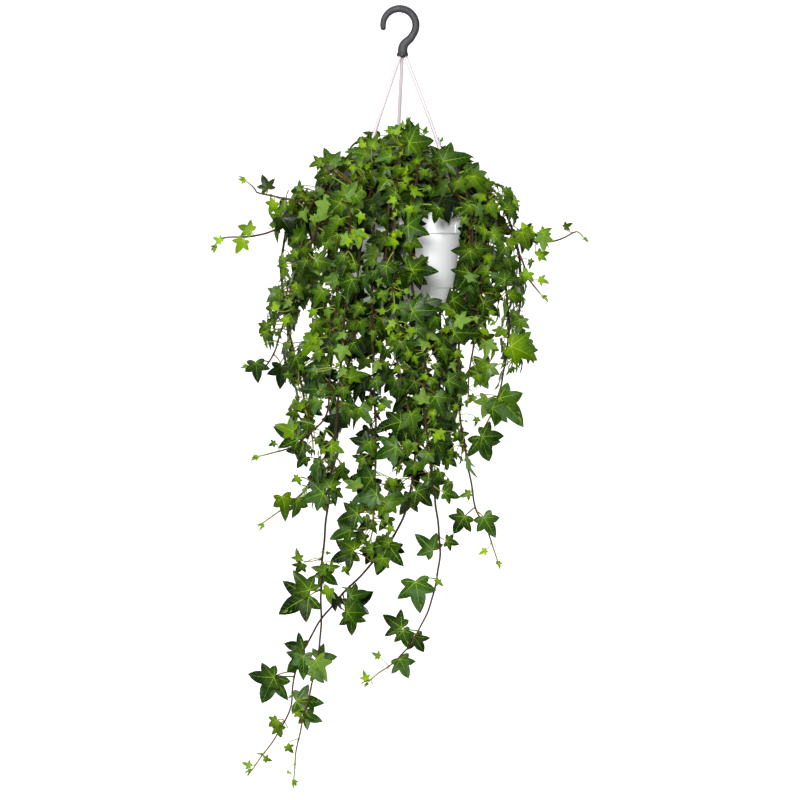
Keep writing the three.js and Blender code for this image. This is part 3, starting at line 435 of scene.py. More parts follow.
@dataclass
class Skin:
    """A mesh in the making: points, faces with their finish, and vector attributes on the points."""

    points: list[Array] = field(default_factory=list)
    faces: list[tuple[Array, int]] = field(default_factory=list)
    values: dict[str, list[Array]] = field(default_factory=dict)
    count: int = 0

    def add(self, points: Array, faces: Sequence[Array], finish: int = 0, **values: Array) -> None:
        """Adds points in millimetres with the faces that join them.

        Args:
            points: An array of shape (n, 3).
            faces: Arrays of shape (m, corners), each counting from the first of these points.
            finish: The material slot's number.
            values: Vector attributes of shape (n, 3).
        """
        self.points.append(points * MM)
        self.faces.extend((group + self.count, finish) for group in faces)
        for name, value in values.items():
            self.values.setdefault(name, []).append(value)
        self.count += len(points)

    def piece(self, name: str, materials: Sequence[Material], crease: float = 40.0) -> Piece:
        """Makes the Blender object.

        Args:
            name: The piece's name.
            materials: Its material slots in order.
            crease: The angle in degrees past which an edge stays sharp.

        Returns:
            The object, at the origin.
        """
        mesh = bpy.data.meshes.new(name)
        sizes = np.concatenate([np.full(len(group), group.shape[1]) for group, _ in self.faces])
        finishes = np.concatenate([np.full(len(group), finish) for group, finish in self.faces])
        corners = np.concatenate([group.ravel() for group, _ in self.faces])
        mesh.vertices.add(self.count)
        mesh.vertices.foreach_set("co", np.concatenate(self.points).astype(np.float32).ravel())
        mesh.loops.add(len(corners))
        mesh.loops.foreach_set("vertex_index", corners.astype(np.int32))
        mesh.polygons.add(len(sizes))
        mesh.polygons.foreach_set("loop_start", np.concatenate([[0], np.cumsum(sizes)[:-1]]).astype(np.int32))
        mesh.polygons.foreach_set("material_index", finishes.astype(np.int32))
        for attribute_name, parts in self.values.items():
            attribute = mesh.attributes.new(attribute_name, "FLOAT_VECTOR", "POINT")
            attribute.data.foreach_set("vector", np.concatenate(parts).astype(np.float32).ravel())
        mesh.update(calc_edges=True)
        mesh.validate()
        mesh.shade_smooth()
        mesh.set_sharp_from_angle(angle=math.radians(crease))
        for material in materials:
            mesh.materials.append(material)
        piece = bpy.data.objects.new(name, mesh)
        bpy.context.scene.collection.objects.link(piece)
        return piece


def settle(piece: Piece, slot: str, *nodes: str) -> None:
    """Puts a piece on the model's only body, in place of its solids.

    Args:
        piece: The piece.
        slot: The name of a material slot; it is not used.
        nodes: The solids that it stands for.
    """
    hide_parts(*nodes)
    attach(piece, ROOT_BODY)
    faces = sum(len(polygon.vertices) - 2 for polygon in piece.data.polygons)
    LOG.info("%s stands for %s with %d triangles", piece.name, ", ".join(nodes), faces)


def grid_faces(rows: int, columns: int, closed: bool = False) -> Array:
    """Quads of a grid whose points run row by row.

    Args:
        rows: How many rows it has.
        columns: How many points a row has.
        closed: Whether the last column is joined to the first.

    Returns:
        An array of shape (quads, 4).
    """
    across = np.arange(columns if closed else columns - 1)
    row, column = np.meshgrid(np.arange(rows - 1), across, indexing="ij")
    first, second = row * columns + column, row * columns + (column + 1) % columns
    return np.stack([first, second, second + columns, first + columns], axis=-1).reshape(-1, 4)


def cap_faces(columns: int, start: int, centre: int, outward: bool) -> Array:
    """Triangles that close a ring of points to its centre point.

    Args:
        columns: How many points the ring has.
        start: The number of its first point.
        centre: The number of the centre point.
        outward: Whether they run the way of the ring.

    Returns:
        An array of shape (columns, 3).
    """
    ring = start + np.arange(columns)
    after, middle = np.roll(ring, -1), np.full(columns, centre)
    return np.stack([middle, ring, after] if outward else [middle, after, ring], axis=-1)


def repeated(faces: Sequence[Array], copies: int, each: int) -> list[Array]:
    """Faces of a shape for many copies of it, whose points follow one another.

    Args:
        faces: The faces of one copy.
        copies: How many copies there are.
        each: How many points a copy has.

    Returns:
        The faces of all copies.
    """
    starts = (np.arange(copies) * each)[:, None, None]
    return [(group + starts).reshape(-1, group.shape[1]) for group in faces]


def closed_grid(rings: Array, ends: Array, backward: bool = False) -> Shape:
    """A skin through rings, closed at both ends.

    Args:
        rings: Points of shape (rings, sides, 3).
        ends: The centre points of the first and the last ring.
        backward: Whether the rings turn the other way, so that faces are turned over.

    Returns:
        Points and faces.
    """
    rows, sides = rings.shape[:2]
    count = rows * sides
    faces = [
        grid_faces(rows, sides, closed=True),
        cap_faces(sides, 0, count, outward=False),
        cap_faces(sides, count - sides, count + 1, outward=True),
    ]
    if backward:
        faces = [group[:, ::-1] for group in faces]
    return np.concatenate([rings.reshape(-1, 3), ends]), faces


def turned(outline: Array, azimuths: Array, backward: bool = False) -> Shape:
    """A solid turned round the Z axis.

    Args:
        outline: Radii and heights, the first and the last on the axis.
        azimuths: Where its rings have their points.
        backward: Whether the outline runs the other way, from the top down.

    Returns:
        Points and faces.
    """
    rings = polar(outline[1:-1, :1], azimuths, outline[1:-1, 1:])
    return closed_grid(rings, polar(0.0, 0.0, outline[[0, -1], 1]), backward)


def rings_along(
    path: Array, across: Array, upward: Array, wide: Array, deep: Array, turn: Array, power: float = 1.0
) -> Array:
    """Rings round the points of a path: each point is centre + w c · across + d s · upward.

    c and s are the cosine and sine of its turn, raised to the power with their sign kept: a power under 1
    squares the ring.

    Args:
        path: Centre points, of shape (..., 3).
        across: Directions of the rings' width, of the same shape.
        upward: Directions of their depth, of the same shape.
        wide: Half the width w at each centre.
        deep: Half the depth d at each centre.
        turn: The turns of a ring's points in radians.
        power: The power.

    Returns:
        Points of shape (..., turns, 3).
    """
    waves = np.stack([np.cos(turn), np.sin(turn)])
    cosine, sine = np.sign(waves) * np.abs(waves) ** power
    beside = (wide[..., None] * cosine)[..., None] * across[..., None, :]
    return path[..., None, :] + beside + (deep[..., None] * sine)[..., None] * upward[..., None, :]


def tube(path: Array, radii: Array, sides: int) -> Shape:
    """A closed round tube, whose section is carried along its path without twist.

    Each ring's across is the one before it, freed of its part along the path.

    Args:
        path: Centre points, of shape (n, 3).
        radii: A radius for each.
        sides: How many sides the section has.

    Returns:
        Points and faces.
    """
    heading = unit(np.gradient(path, axis=0))
    guide = np.eye(3)[int(np.argmin(np.abs(heading[0])))]
    across = np.empty_like(path)
    for index, way in enumerate(heading):
        guide = unit(guide - way * (guide @ way))
        across[index] = guide
    rings = rings_along(path, across, np.cross(heading, across), radii, radii, around(sides))
    return closed_grid(rings, path[[0, -1]])


def bent(start: Array, bulge: Array, end: Array, share: Array) -> Array:
    """Curve (1-t)²a + 2t(1-t)b + t²c at shares t: from a start to an end, drawn towards a bulge point."""
    return (1 - share) ** 2 * start + 2 * share * (1 - share) * bulge + share**2 * end


def cubic_spans(knots: Array, slopes: Array, share: Array) -> Array:
    """Cubics c0 + c1 t + c2 t² + c3 t³ from each knot to the next, with a slope given at each.

    Args:
        knots: Points of shape (n, axes).
        slopes: The slopes at them.
        share: The values of t at which points are set.

    Returns:
        The points, span by span.
    """
    start, end, leaving, arriving = knots[:-1, None], knots[1:, None], slopes[:-1, None], slopes[1:, None]
    share = share[None, :, None]
    spans = (
        start
        + leaving * share
        + (-3 * start + 3 * end - 2 * leaving - arriving) * share**2
        + (2 * start - 2 * end + leaving + arriving) * share**3
    )
    return spans.reshape(-1, knots.shape[1])


def rounded(outline: Sequence[tuple[float, float]], radius: float, steps: int = 3) -> Array:
    """An outline with its inner corners rounded: each is replaced by a bent curve past it.

    Args:
        outline: Corner points.
        radius: How far a corner is cut back, at most a third of the shorter side.
        steps: How many spans a curve has.

    Returns:
        The rounded outline's points.
    """
    corners = np.array(outline, float)
    at = corners[1:-1]
    back, ahead = corners[:-2] - at, corners[2:] - at
    start, end = (
        at + unit(way) * np.minimum(radius, np.linalg.norm(way, axis=1) / 3.0)[:, None]
        for way in (back, ahead)
    )
    share = np.linspace(0.0, 1.0, steps + 1)[None, :, None]
    curves = bent(start[:, None], at[:, None], end[:, None], share)
    return np.concatenate([corners[:1], curves.reshape(-1, 2), corners[-1:]])


class Arm(Enum):
    """The three arms, each with its azimuth in degrees from +X towards +Y."""

    RIGHT = -23.0
    LEFT = -143.0
    BACK = 97.0

    @property
    def node(self) -> str:
        """Name of the arm's solid."""
        return f"arm_{self.name.lower()}"

    @property
    def azimuth(self) -> float:
        """Azimuth in radians."""
        return math.radians(self.value)

    @property
    def frame(self) -> Array:
        """Directions outwards, sideways and up."""
        return np.stack([polar(1.0, self.azimuth, 0.0), polar(1.0, self.azimuth + math.pi / 2.0, 0.0), UP])


@dataclass
class ArmRods:
    """Slim sheer rods from the hook's collar to the rim, each with a clip that turns up outside it."""

    radius: float = 2.2
    top_radius: float = 3.2
    top_z: float = -48.5
    foot_radius: float = 69.6
    foot_z: float = -247.0
    bow: float = 8.0
    late_bow: float = 1.0
    spans: int = 40
    clip_width: float = 5.4
    clip_thickness: float = 2.4
    clip_rise: float = 6.0
    fit: float = 0.35
    finish: MouldedPlastic = MouldedPlastic(
        "arm_sheer_plastic", srgb(177, 169, 172), srgb(169, 161, 164), 0.34, 500.0, 0.000015
    )

    def line(self, arm: Arm) -> Array:
        """Centre line from collar to rim, bowed outwards by sines of its length, most past its middle.

        Args:
            arm: Which arm.

        Returns:
            Its points.
        """
        share = np.linspace(0.0, 1.0, self.spans + 1)
        reach = lerp(self.top_radius, self.foot_radius - 1.5, share)
        reach = reach + self.bow * np.sin(math.pi * share) - self.late_bow * np.sin(2.0 * math.pi * share)
        return polar(reach, arm.azimuth, lerp(self.top_z, self.foot_z, share))

    def clip(self, arm: Arm, rim_radius: float) -> Shape:
        """The tongue through the rim and the pointed tab outside it, as one bent ribbon.

        Its squared rings follow a path that goes out and turns up, and the last ones narrow to a blunt point.

        Args:
            arm: Which arm.
            rim_radius: The rim's outer radius.

        Returns:
            Points and faces.
        """
        outside, half = rim_radius + self.fit, self.clip_thickness / 2.0
        radius = np.array([self.foot_radius - 3.4, outside - 0.6, outside + 0.4, *[outside + half] * 4])
        height = self.foot_z + half + np.array([0.0, 0.0, 0.25, 1.2, 3.0, 4.8, self.clip_rise])
        lean = np.radians([90.0, 90.0, 60.0, 20.0, 0.0, 0.0, 0.0])
        wide = self.clip_width / 2.0 * np.array([1.0, 1.0, 1.0, 1.0, 1.0, 0.55, 0.12])
        deep = half * np.array([1.0, 1.0, 1.0, 1.0, 0.95, 0.8, 0.5])
        turn = np.radians([20.0, 70.0, 110.0, 160.0, 200.0, 250.0, 290.0, 340.0])
        path, normal = polar(radius, arm.azimuth, height), polar(np.cos(lean), arm.azimuth, -np.sin(lean))
        rings = rings_along(path, arm.frame[1], normal, wide, deep, turn, 0.3)
        return closed_grid(rings, path[[0, -1]], backward=True)

    def build(self, rim_radius: float) -> None:
        """Builds the three arms.

        Args:
            rim_radius: The pot's outer radius.
        """
        material = self.finish.material()
        for arm in Arm:
            skin = Skin()
            skin.add(*tube(self.line(arm), np.full(self.spans + 1, self.radius), 20))
            skin.add(*self.clip(arm, rim_radius))
            settle(skin.piece(f"{arm.node}_rod", [material], 50.0), "arm_plastic", arm.node)


@dataclass
class Pot:
    """A turned grow pot: tapering body, stepped foot and a rim band of raised panels."""

    rim_radius: float = 75.0
    rim_z: float = -233.0
    height: float = 107.0
    band_height: float = 25.0
    body_top_radius: float = 70.5
    body_foot_radius: float = 60.0
    foot_top_radius: float = 56.0
    foot_base_radius: float = 51.5
    foot_height: float = 18.0
    groove: float = 1.2
    wall: float = 2.2
    panel_count: int = 12
    panel_azimuth: float = -23.0
    panel_angle: float = 22.0
    panel_foot: float = 0.8
    panel_height: float = 11.4
    panel_corner: float = 4.5
    panel_relief: float = 0.9
    edge: float = 0.45
    crease: float = 42.0
    finish: MouldedPlastic = MouldedPlastic(
        "pot_white_plastic", srgb(241, 241, 244), srgb(237, 238, 242), 0.38, 700.0, 0.00002, 0.03
    )

    @property
    def band_foot(self) -> float:
        """Height at which the rim band starts."""
        return self.rim_z - self.band_height

    @property
    def panel_half(self) -> float:
        """Half a panel's angle in radians."""
        return math.radians(self.panel_angle) / 2.0

    def outline(self) -> Array:
        """Radius and height of the turned outline, from the base's centre round to the inside's."""
        rim, foot, band_foot = self.rim_z, self.foot_base_radius, self.band_foot
        base = rim - self.height
        foot_top = base + self.foot_height
        band = self.rim_radius - self.panel_relief
        rows = band_foot + np.arange(1.1, self.band_height - 3.0, 0.6)
        outside = [
            (0.0, base + 0.8), (37.0, base + 0.8), (37.6, base), (foot, base), (foot + 0.4, base + 2.4),
            (foot - 0.1, base + 2.8), (foot + 0.6, base + 3.2), (self.foot_top_radius, foot_top - self.groove),
            (self.foot_top_radius - 0.6, foot_top), (self.body_foot_radius, foot_top + 0.6),
            (self.body_top_radius, band_foot - self.groove), (self.body_top_radius - 0.6, band_foot - 0.4),
            (band, band_foot), (band, band_foot + 0.8),
        ]
        inside = [
            (band, rim - 1.9), (self.rim_radius, rim - 1.4), (self.rim_radius, rim), (band - self.wall, rim),
            (band - self.wall, band_foot + 1.5), (self.body_top_radius - self.wall, band_foot - 2.5),
            (self.body_foot_radius - self.wall, foot_top - 0.5),
            (self.foot_top_radius - self.wall, foot_top - 2.0),
            (foot - self.wall + 0.6, base + self.wall), (0.0, base + self.wall),
        ]
        straight = np.stack([np.full(len(rows), band), rows], axis=-1)
        return np.concatenate([rounded(outside, self.edge)[:-1], straight, rounded(inside, self.edge)[1:]])

    def relief(self, azimuth: Array, height: Array) -> Array:
        """How far the band stands out: a panel with round upper corners in each bay.

        The panel's mask is a smooth step of the signed distance to such a rectangle.

        Args:
            azimuth: Azimuths in radians.
            height: Heights above the band's foot.

        Returns:
            The relief in millimetres.
        """
        bay = 2.0 * math.pi / self.panel_count
        turn = (azimuth - math.radians(self.panel_azimuth) + bay / 2.0) % bay - bay / 2.0
        middle = self.panel_foot + self.panel_height / 2.0
        corner = np.where(height > middle, self.panel_corner, 0.8)
        out_x = np.abs(turn) * self.rim_radius - (self.panel_half * self.rim_radius - corner)
        out_y = np.abs(height - middle) - (self.panel_height / 2.0 - corner)
        outer = np.hypot(np.maximum(out_x, 0.0), np.maximum(out_y, 0.0))
        distance = outer + np.minimum(np.maximum(out_x, out_y), 0.0) - corner
        return self.panel_relief * smooth(0.5 - distance / self.edge)

    def columns(self) -> Array:
        """Azimuths of the grid's columns: close together at the sides of the panels."""
        half = self.panel_half
        offsets = np.concatenate([
            np.linspace(-half * 1.34, -half - 0.008, 4, endpoint=False),
            np.linspace(-half - 0.008, -half + 0.008, 6),
            np.linspace(-half + 0.02, half - 0.02, 12),
            np.linspace(half - 0.008, half + 0.008, 6),
            np.linspace(half * 1.34, half + 0.008, 4, endpoint=False)[::-1],
        ])
        return (math.radians(self.panel_azimuth) + around(self.panel_count)[:, None] + offsets).ravel()

    def build(self, arms: ArmRods) -> None:
        """Builds the pot.

        Args:
            arms: The arms, whose clips pass out through windows in the band.
        """
        outline, columns = self.outline(), self.columns()
        radius, height = outline[1:-1, :1], outline[1:-1, 1:]
        on_band = (radius > self.rim_radius - self.panel_relief - 0.01) & (height < self.rim_z - 1.8)
        radius = radius + np.where(on_band, self.relief(columns, height - self.band_foot), 0.0)
        skin = Skin()
        skin.add(*closed_grid(polar(radius, columns, height), polar(0.0, 0.0, outline[[0, -1], 1])))
        piece = skin.piece("pot_shell", [self.finish.material()], self.crease)
        self._cut_windows(piece, arms)
        settle(piece, "pot_plastic", "pot")

    def _cut_windows(self, piece: Piece, arms: ArmRods) -> None:
        """Cuts the three windows for the arms' clips with one Boolean.

        Args:
            piece: The pot.
            arms: The arms.
        """
        cutters = Skin()
        half = arms.clip_width / 2.0 + arms.fit
        radii = (self.rim_radius - 6.0, self.rim_radius + 3.0)
        heights = (arms.foot_z - arms.fit, arms.foot_z + arms.clip_thickness + arms.fit)
        box = np.array([[x, y, z] for x in radii for y in (-half, half) for z in heights])
        quads = np.array([[0, 1, 3, 2], [4, 6, 7, 5], [0, 4, 5, 1], [2, 3, 7, 6], [0, 2, 6, 4], [1, 5, 7, 3]])
        for arm in Arm:
            cutters.add(box @ arm.frame, [quads])
        cutter = cutters.piece("window_cutter", [])
        cut = piece.modifiers.new("windows", "BOOLEAN")
        cut.object = cutter
        cut.operation = "DIFFERENCE"
        cut.solver = "EXACT"
        evaluated = piece.evaluated_get(bpy.context.evaluated_depsgraph_get())
        piece.data = bpy.data.meshes.new_from_object(evaluated)
        piece.data.set_sharp_from_angle(angle=math.radians(self.crease))
        piece.modifiers.clear()
        bpy.data.objects.remove(cutter)


@dataclass
class Soil:
    """Potting mix: a plug in the pot with a crumbly top and loose crumbs on it."""

    drop: float = 13.0
    depth: float = 74.0
    crumb_count: int = 420
    rings: int = 46
    spokes: int = 140
    wave_count: int = 9

    def build(self, pot: Pot) -> None:
        """Builds the soil.

        The top is a disc of rings and spokes whose height is a sum of seeded sine waves and fine chance.

        Args:
            pot: The pot that holds it.
        """
        random = np.random.default_rng(7)
        top = pot.rim_z - self.drop
        wall = pot.body_top_radius - pot.wall - 0.7
        radius = (np.linspace(0.0, 1.0, self.rings + 1)[1:] ** 0.9 * wall)[:, None]
        turn = around(self.spokes)
        x, y = radius * np.cos(turn), radius * np.sin(turn)
        steps = np.linspace(0.15, 1.6, self.wave_count)[:, None]
        waves = random.uniform(-1.0, 1.0, (self.wave_count, 2)) * steps
        phases = random.uniform(0.0, 2.0 * math.pi, self.wave_count)
        lumps = sum(
            np.sin(x * wave[0] + y * wave[1] + phase) / (index + 1.4)
            for index, (wave, phase) in enumerate(zip(waves, phases))
        )
        edge = smooth((wall - radius) / 6.0)
        z = top + (lumps * 0.9 + random.normal(0.0, 0.22, x.shape)) * edge - 4.6 * (1.0 - edge)
        lower = np.array([[wall, top - 12.0], [pot.body_foot_radius - pot.wall - 0.6, top - self.depth]])
        rings = np.concatenate([polar(radius, turn, z), polar(lower[:, :1], turn, lower[:, 1:])])
        poles = polar(0.0, 0.0, np.array([z[0].mean(), lower[-1, 1]]))
        skin = Skin()
        skin.add(*closed_grid(rings, poles, backward=True))
        self._add_crumbs(skin, random, top, wall - 4.0)
        settle(skin.piece("soil_crumbly", [PottingMix().material()], 60.0), "potting_soil", "soil")

    def _add_crumbs(self, skin: Skin, random: Random, top: float, reach: float) -> None:
        """Strews crumbs over the top: squashed octahedrons, turned at random.

        Args:
            skin: The mesh they are added to.
            random: Seeded chance.
            top: The soil's height.
            reach: The furthest crumb's radius.
        """
        corners = np.array([[1, 0, 0], [0, 1, 0], [-1, 0, 0], [0, -1, 0], [0, 0, 1], [0, 0, -1]], float)
        turn = random.uniform(0.0, 2.0 * math.pi, self.crumb_count)
        radius = np.sqrt(random.uniform(0.0, 1.0, self.crumb_count)) * reach
        sizes = random.uniform(0.7, 2.4, (self.crumb_count, 3)) * np.array([1.0, 1.0, 0.7])
        spin = random.uniform(0.0, math.pi, self.crumb_count)[:, None]
        shaped = corners[None] * sizes[:, None] * random.uniform(0.75, 1.2, (self.crumb_count, 6, 1))
        x = shaped[..., 0] * np.cos(spin) - shaped[..., 1] * np.sin(spin)
        y = shaped[..., 0] * np.sin(spin) + shaped[..., 1] * np.cos(spin)
        points = np.stack([x, y, shaped[..., 2]], axis=-1) + polar(radius, turn, top + 0.9)[:, None]
        upper = [[0, 1, 4], [1, 2, 4], [2, 3, 4], [3, 0, 4]]
        lower = [[1, 0, 5], [2, 1, 5], [3, 2, 5], [0, 3, 5]]
        faces = repeated([np.array([*upper, *lower])], self.crumb_count, len(corners))
        skin.add(points.reshape(-1, 3), faces)


@dataclass
class Hook:
    """A swept hook: tapered tip, ring open at the left, S-bent neck, nib, seam, collar and sockets."""

    ring_x: float = -3.6
    ring_z: float = -13.2
    ring_radius: float = 19.4
    depth: float = 7.6
    width: float = 8.8
    neck_width: float = 11.8
    tip_width: float = 6.6
    collar_radius: float = 6.9
    collar_top_z: float = -46.0
    collar_height: float = 3.8
    lug_radius: float = 2.9
    lug_length: float = 2.6
    squareness: float = 2.6
    arc_points: int = 61
    sides: int = 28
    finish: MouldedPlastic = MouldedPlastic(
        "hook_charcoal_plastic", srgb(40, 40, 43), srgb(34, 34, 37), 0.5, 420.0, 0.00006, gloss=0.25
    )

    def path(self) -> tuple[Array, Array]:
        """Centre line and width: an arc from the tip over the crest, then a smooth S to the collar.

        Returns:
            Points of shape (n, 3), and a width for each.
        """
        turn = np.radians(np.linspace(189.0, -34.0, self.arc_points))
        x, z = self.ring_x + self.ring_radius * np.cos(turn), self.ring_z + self.ring_radius * np.sin(turn)
        arc = np.stack([x, np.zeros_like(x), z], axis=-1)
        bends = ((8.6, -29.4), (3.4, -34.0), (0.6, -39.0), (0.0, self.collar_top_z - 1.0))
        knots = np.array([arc[-1], *((x, 0.0, z) for x, z in bends)])
        slopes = np.gradient(knots, axis=0)
        slopes[0] = (arc[-1] - arc[-2]) * 8.0
        neck = cubic_spans(knots, slopes, np.linspace(0.0, 1.0, 9)[1:])
        taper = np.clip(np.linspace(0.0, 14.0 / 6.0, self.arc_points), 0.0, 1.0)
        swell = np.linspace(0.05, 1.0, len(neck))
        widths = lerp(self.tip_width, self.width, taper), lerp(self.width, self.neck_width, swell)
        return np.concatenate([arc, neck]), np.concatenate(widths)

    def sweep(self) -> Shape:
        """The swept bar, with a squared section and a half-round tip.

        The tip's sections shrink as a quarter circle does.

        Returns:
            Points and faces.
        """
        path, width = self.path()
        rounds = np.radians([88.0, 66.0, 44.0, 22.0])
        cap = path[0] + unit(path[0] - path[1]) * (np.sin(rounds) * width[0] / 2.2)[:, None]
        path = np.concatenate([cap, path])
        width = np.concatenate([np.maximum(np.cos(rounds), 0.08) * width[0], width])
        across = np.cross(BACKWARD, unit(np.gradient(path, axis=0)))
        deep, turn = np.minimum(self.depth, width) / 2.0, around(self.sides)
        rings = rings_along(path, across, BACKWARD, width / 2.0, deep, turn, 2.0 / self.squareness)
        return closed_grid(rings, path[[0, -1]])

    def nib(self) -> Shape:
        """The small nib inside the crest: a pointed outline, a little smaller at both its faces.

        Returns:
            Points and faces.
        """
        x, z = np.array([[-2.6, -1.7, -0.5, 0.0, 0.5, 1.7, 2.6], [0.3, 0.25, -1.7, -2.6, -1.7, 0.25, 0.3]])
        deep, shrink = np.array([[-2.3, -2.0, 2.0, 2.3], [0.82, 1.0, 1.0, 0.82]])[:, :, None]
        rings = np.stack(np.broadcast_arrays(x * shrink, deep, 2.6 + z * shrink), axis=-1)
        return closed_grid(rings, np.array([[0.0, deep[0, 0], 2.2], [0.0, deep[-1, 0], 2.2]]), backward=True)

    def seam(self) -> Shape:
        """The mould's parting seam: a thin bead round the crest."""
        turn = np.radians(np.linspace(150.0, -150.0, 25))
        y = -self.depth / 2.0 * np.sin(turn) * 1.02
        z = self.ring_z + self.ring_radius + self.width / 2.0 * np.cos(turn)
        return tube(np.stack([np.full(25, -2.0), y, z], axis=-1), np.full(25, 0.42), 8)

    def build(self, arms: ArmRods) -> None:
        """Builds the hook.

        Args:
            arms: The arms that its sockets hold.
        """
        skin = Skin()
        for shape in (self.sweep(), self.nib(), self.seam()):
            skin.add(*shape)
        top, low, radius = self.collar_top_z, self.collar_top_z - self.collar_height, self.collar_radius
        collar = [(0.0, top + 0.6), (5.2, top + 0.6), (radius, top), (radius, low), (0.0, low)]
        skin.add(*turned(rounded(collar, 0.9, 4), around(48), backward=True))
        for arm in Arm:
            line = arms.line(arm)
            reach = np.array([-1.0, 0.0, 0.5, 1.0, 1.5, self.lug_length - 0.4, self.lug_length])
            radii = self.lug_radius * np.array([0.8, 1.0, 1.0, 0.97, 0.94, 0.88, 0.72])
            skin.add(*tube(line[0] + reach[:, None] * unit(line[1] - line[0]), radii, 20))
        settle(skin.piece("hook_swept", [self.finish.material()], 45.0), "hook_plastic", "hook")


class Chance:
    """Seeded numbers between 0 and 1, by the mulberry32 rule."""

    WORD = 0xFFFFFFFF

    def __init__(self, seed: int) -> None:
        """Starts at a seed."""
        self.state = seed & self.WORD

    def __call__(self) -> float:
        """The next number."""
        self.state = (self.state + 0x6D2B79F5) & self.WORD
        mixed = ((self.state ^ (self.state >> 15)) * (1 | self.state)) & self.WORD
        mixed = (mixed + (((mixed ^ (mixed >> 7)) * (61 | mixed)) & self.WORD)) ^ mixed
        mixed &= self.WORD
        return (mixed ^ (mixed >> 14)) / 4294967296.0


@dataclass
class Leaf:
    """A leaf: where its blade starts, how it lies, and the spot on its stem that it grows from."""

    line: int
    step: int
    stem_point: Array
    base: Array
    along: Array
    face: Array
    length: float
    youth: float = 0.0
    # How deep it sits among the others, which sets its painted shade.
    depth: float = 0.0
    seen: bool = False

    @property
    def across(self) -> Array:
        """Direction to the blade's right."""
        return np.cross(self.along, self.face)

    def spots(self, places: Array) -> Array:
        """Points of the blade from places across and along it, folded at the midrib and drooping."""
        rise = 0.16 * np.abs(places[:, 0]) - 0.18 * places[:, 1] ** 2
        ways = places[:, :1] * self.across + places[:, 1:] * self.along + rise[:, None] * self.face
        return self.base + self.length * ways


@dataclass
class Vine:
    """One stem, with its branch if it has one, and the leaves on both."""

    name: str
    route: Array
    branch: Array | None = None
    listed: Sequence[Sequence[float]] = ()
    bare_below: float = -1000.0
    crown: bool = False
    seed: int = 0
    lines: list[Array] = field(default_factory=list)
    leaves: list[Leaf] = field(default_factory=list)

    def is_free(self, line: int, step: int) -> bool:
        """Whether a line carries no leaf yet at a step."""
        inside = 1 < step < len(self.lines[line]) - 1
        return inside and all(leaf.line != line or leaf.step != step for leaf in self.leaves)

    def heading(self, line: int, step: int) -> Array:
        """The way a line runs at a step."""
        points = self.lines[line]
        return unit(points[min(step + 1, len(points) - 1)] - points[step - 1])

    def leaf(self, line: int, step: int, base: Array, tip_way: Array, face_way: Array, length: float) -> Leaf:
        """A leaf of this stem.

        Args:
            line: Which line it grows on.
            step: At which step of the line.
            base: Where its blade starts.
            tip_way: The way its tip points.
            face_way: The way it faces, which is made square to the first.
            length: The length of its centre lobe.

        Returns:
            The leaf.
        """
        along = unit(tip_way)
        face = unit(face_way - along * (face_way @ along))
        return Leaf(line, step, self.lines[line][step], base, along, face, length)


def points_at(places: Array, known: Array, points: Array) -> Array:
    """Points at places along a line, each on the straight way between the known points beside it."""
    return np.stack([np.interp(places, known, points[:, axis]) for axis in range(3)], axis=-1)


def smooth_line(route: Array, pitch: float) -> Array:
    """A smooth line through route points, as even steps.

    Its slope at a point is half the difference of the point's neighbours. A span is cut in 12, and
    points are set every pitch.

    Args:
        route: The route's points.
        pitch: The distance from one point to the next.

    Returns:
        The line's points.
    """
    points = np.concatenate([[2 * route[0] - route[1]], route, [2 * route[-1] - route[-2]]])
    spans = cubic_spans(route, 0.5 * (points[2:] - points[:-2]), np.arange(12) / 12)
    fine = np.concatenate([spans, route[-1:]])
    travelled = np.concatenate([[0.0], np.cumsum(np.linalg.norm(np.diff(fine, axis=0), axis=1))])
    places = np.arange(0.0, travelled[-1] + 1e-9, pitch)
    return points_at(places, travelled, fine)


@dataclass(frozen=True)
class Traced:
    """A stem whose route is traced from the front, with the leaves that can be told apart on it.

    A leaf is listed as its petiole's end x and z, its centre lobe's tip x and z, and how far it stands
    behind the stem. Under bare_below the stem carries only these leaves.
    """

    route: Sequence[Sequence[float]]
    leaves: Sequence[Sequence[float]] = ()
    branch: Sequence[Sequence[float]] = ()
    bare_below: float = -1000.0


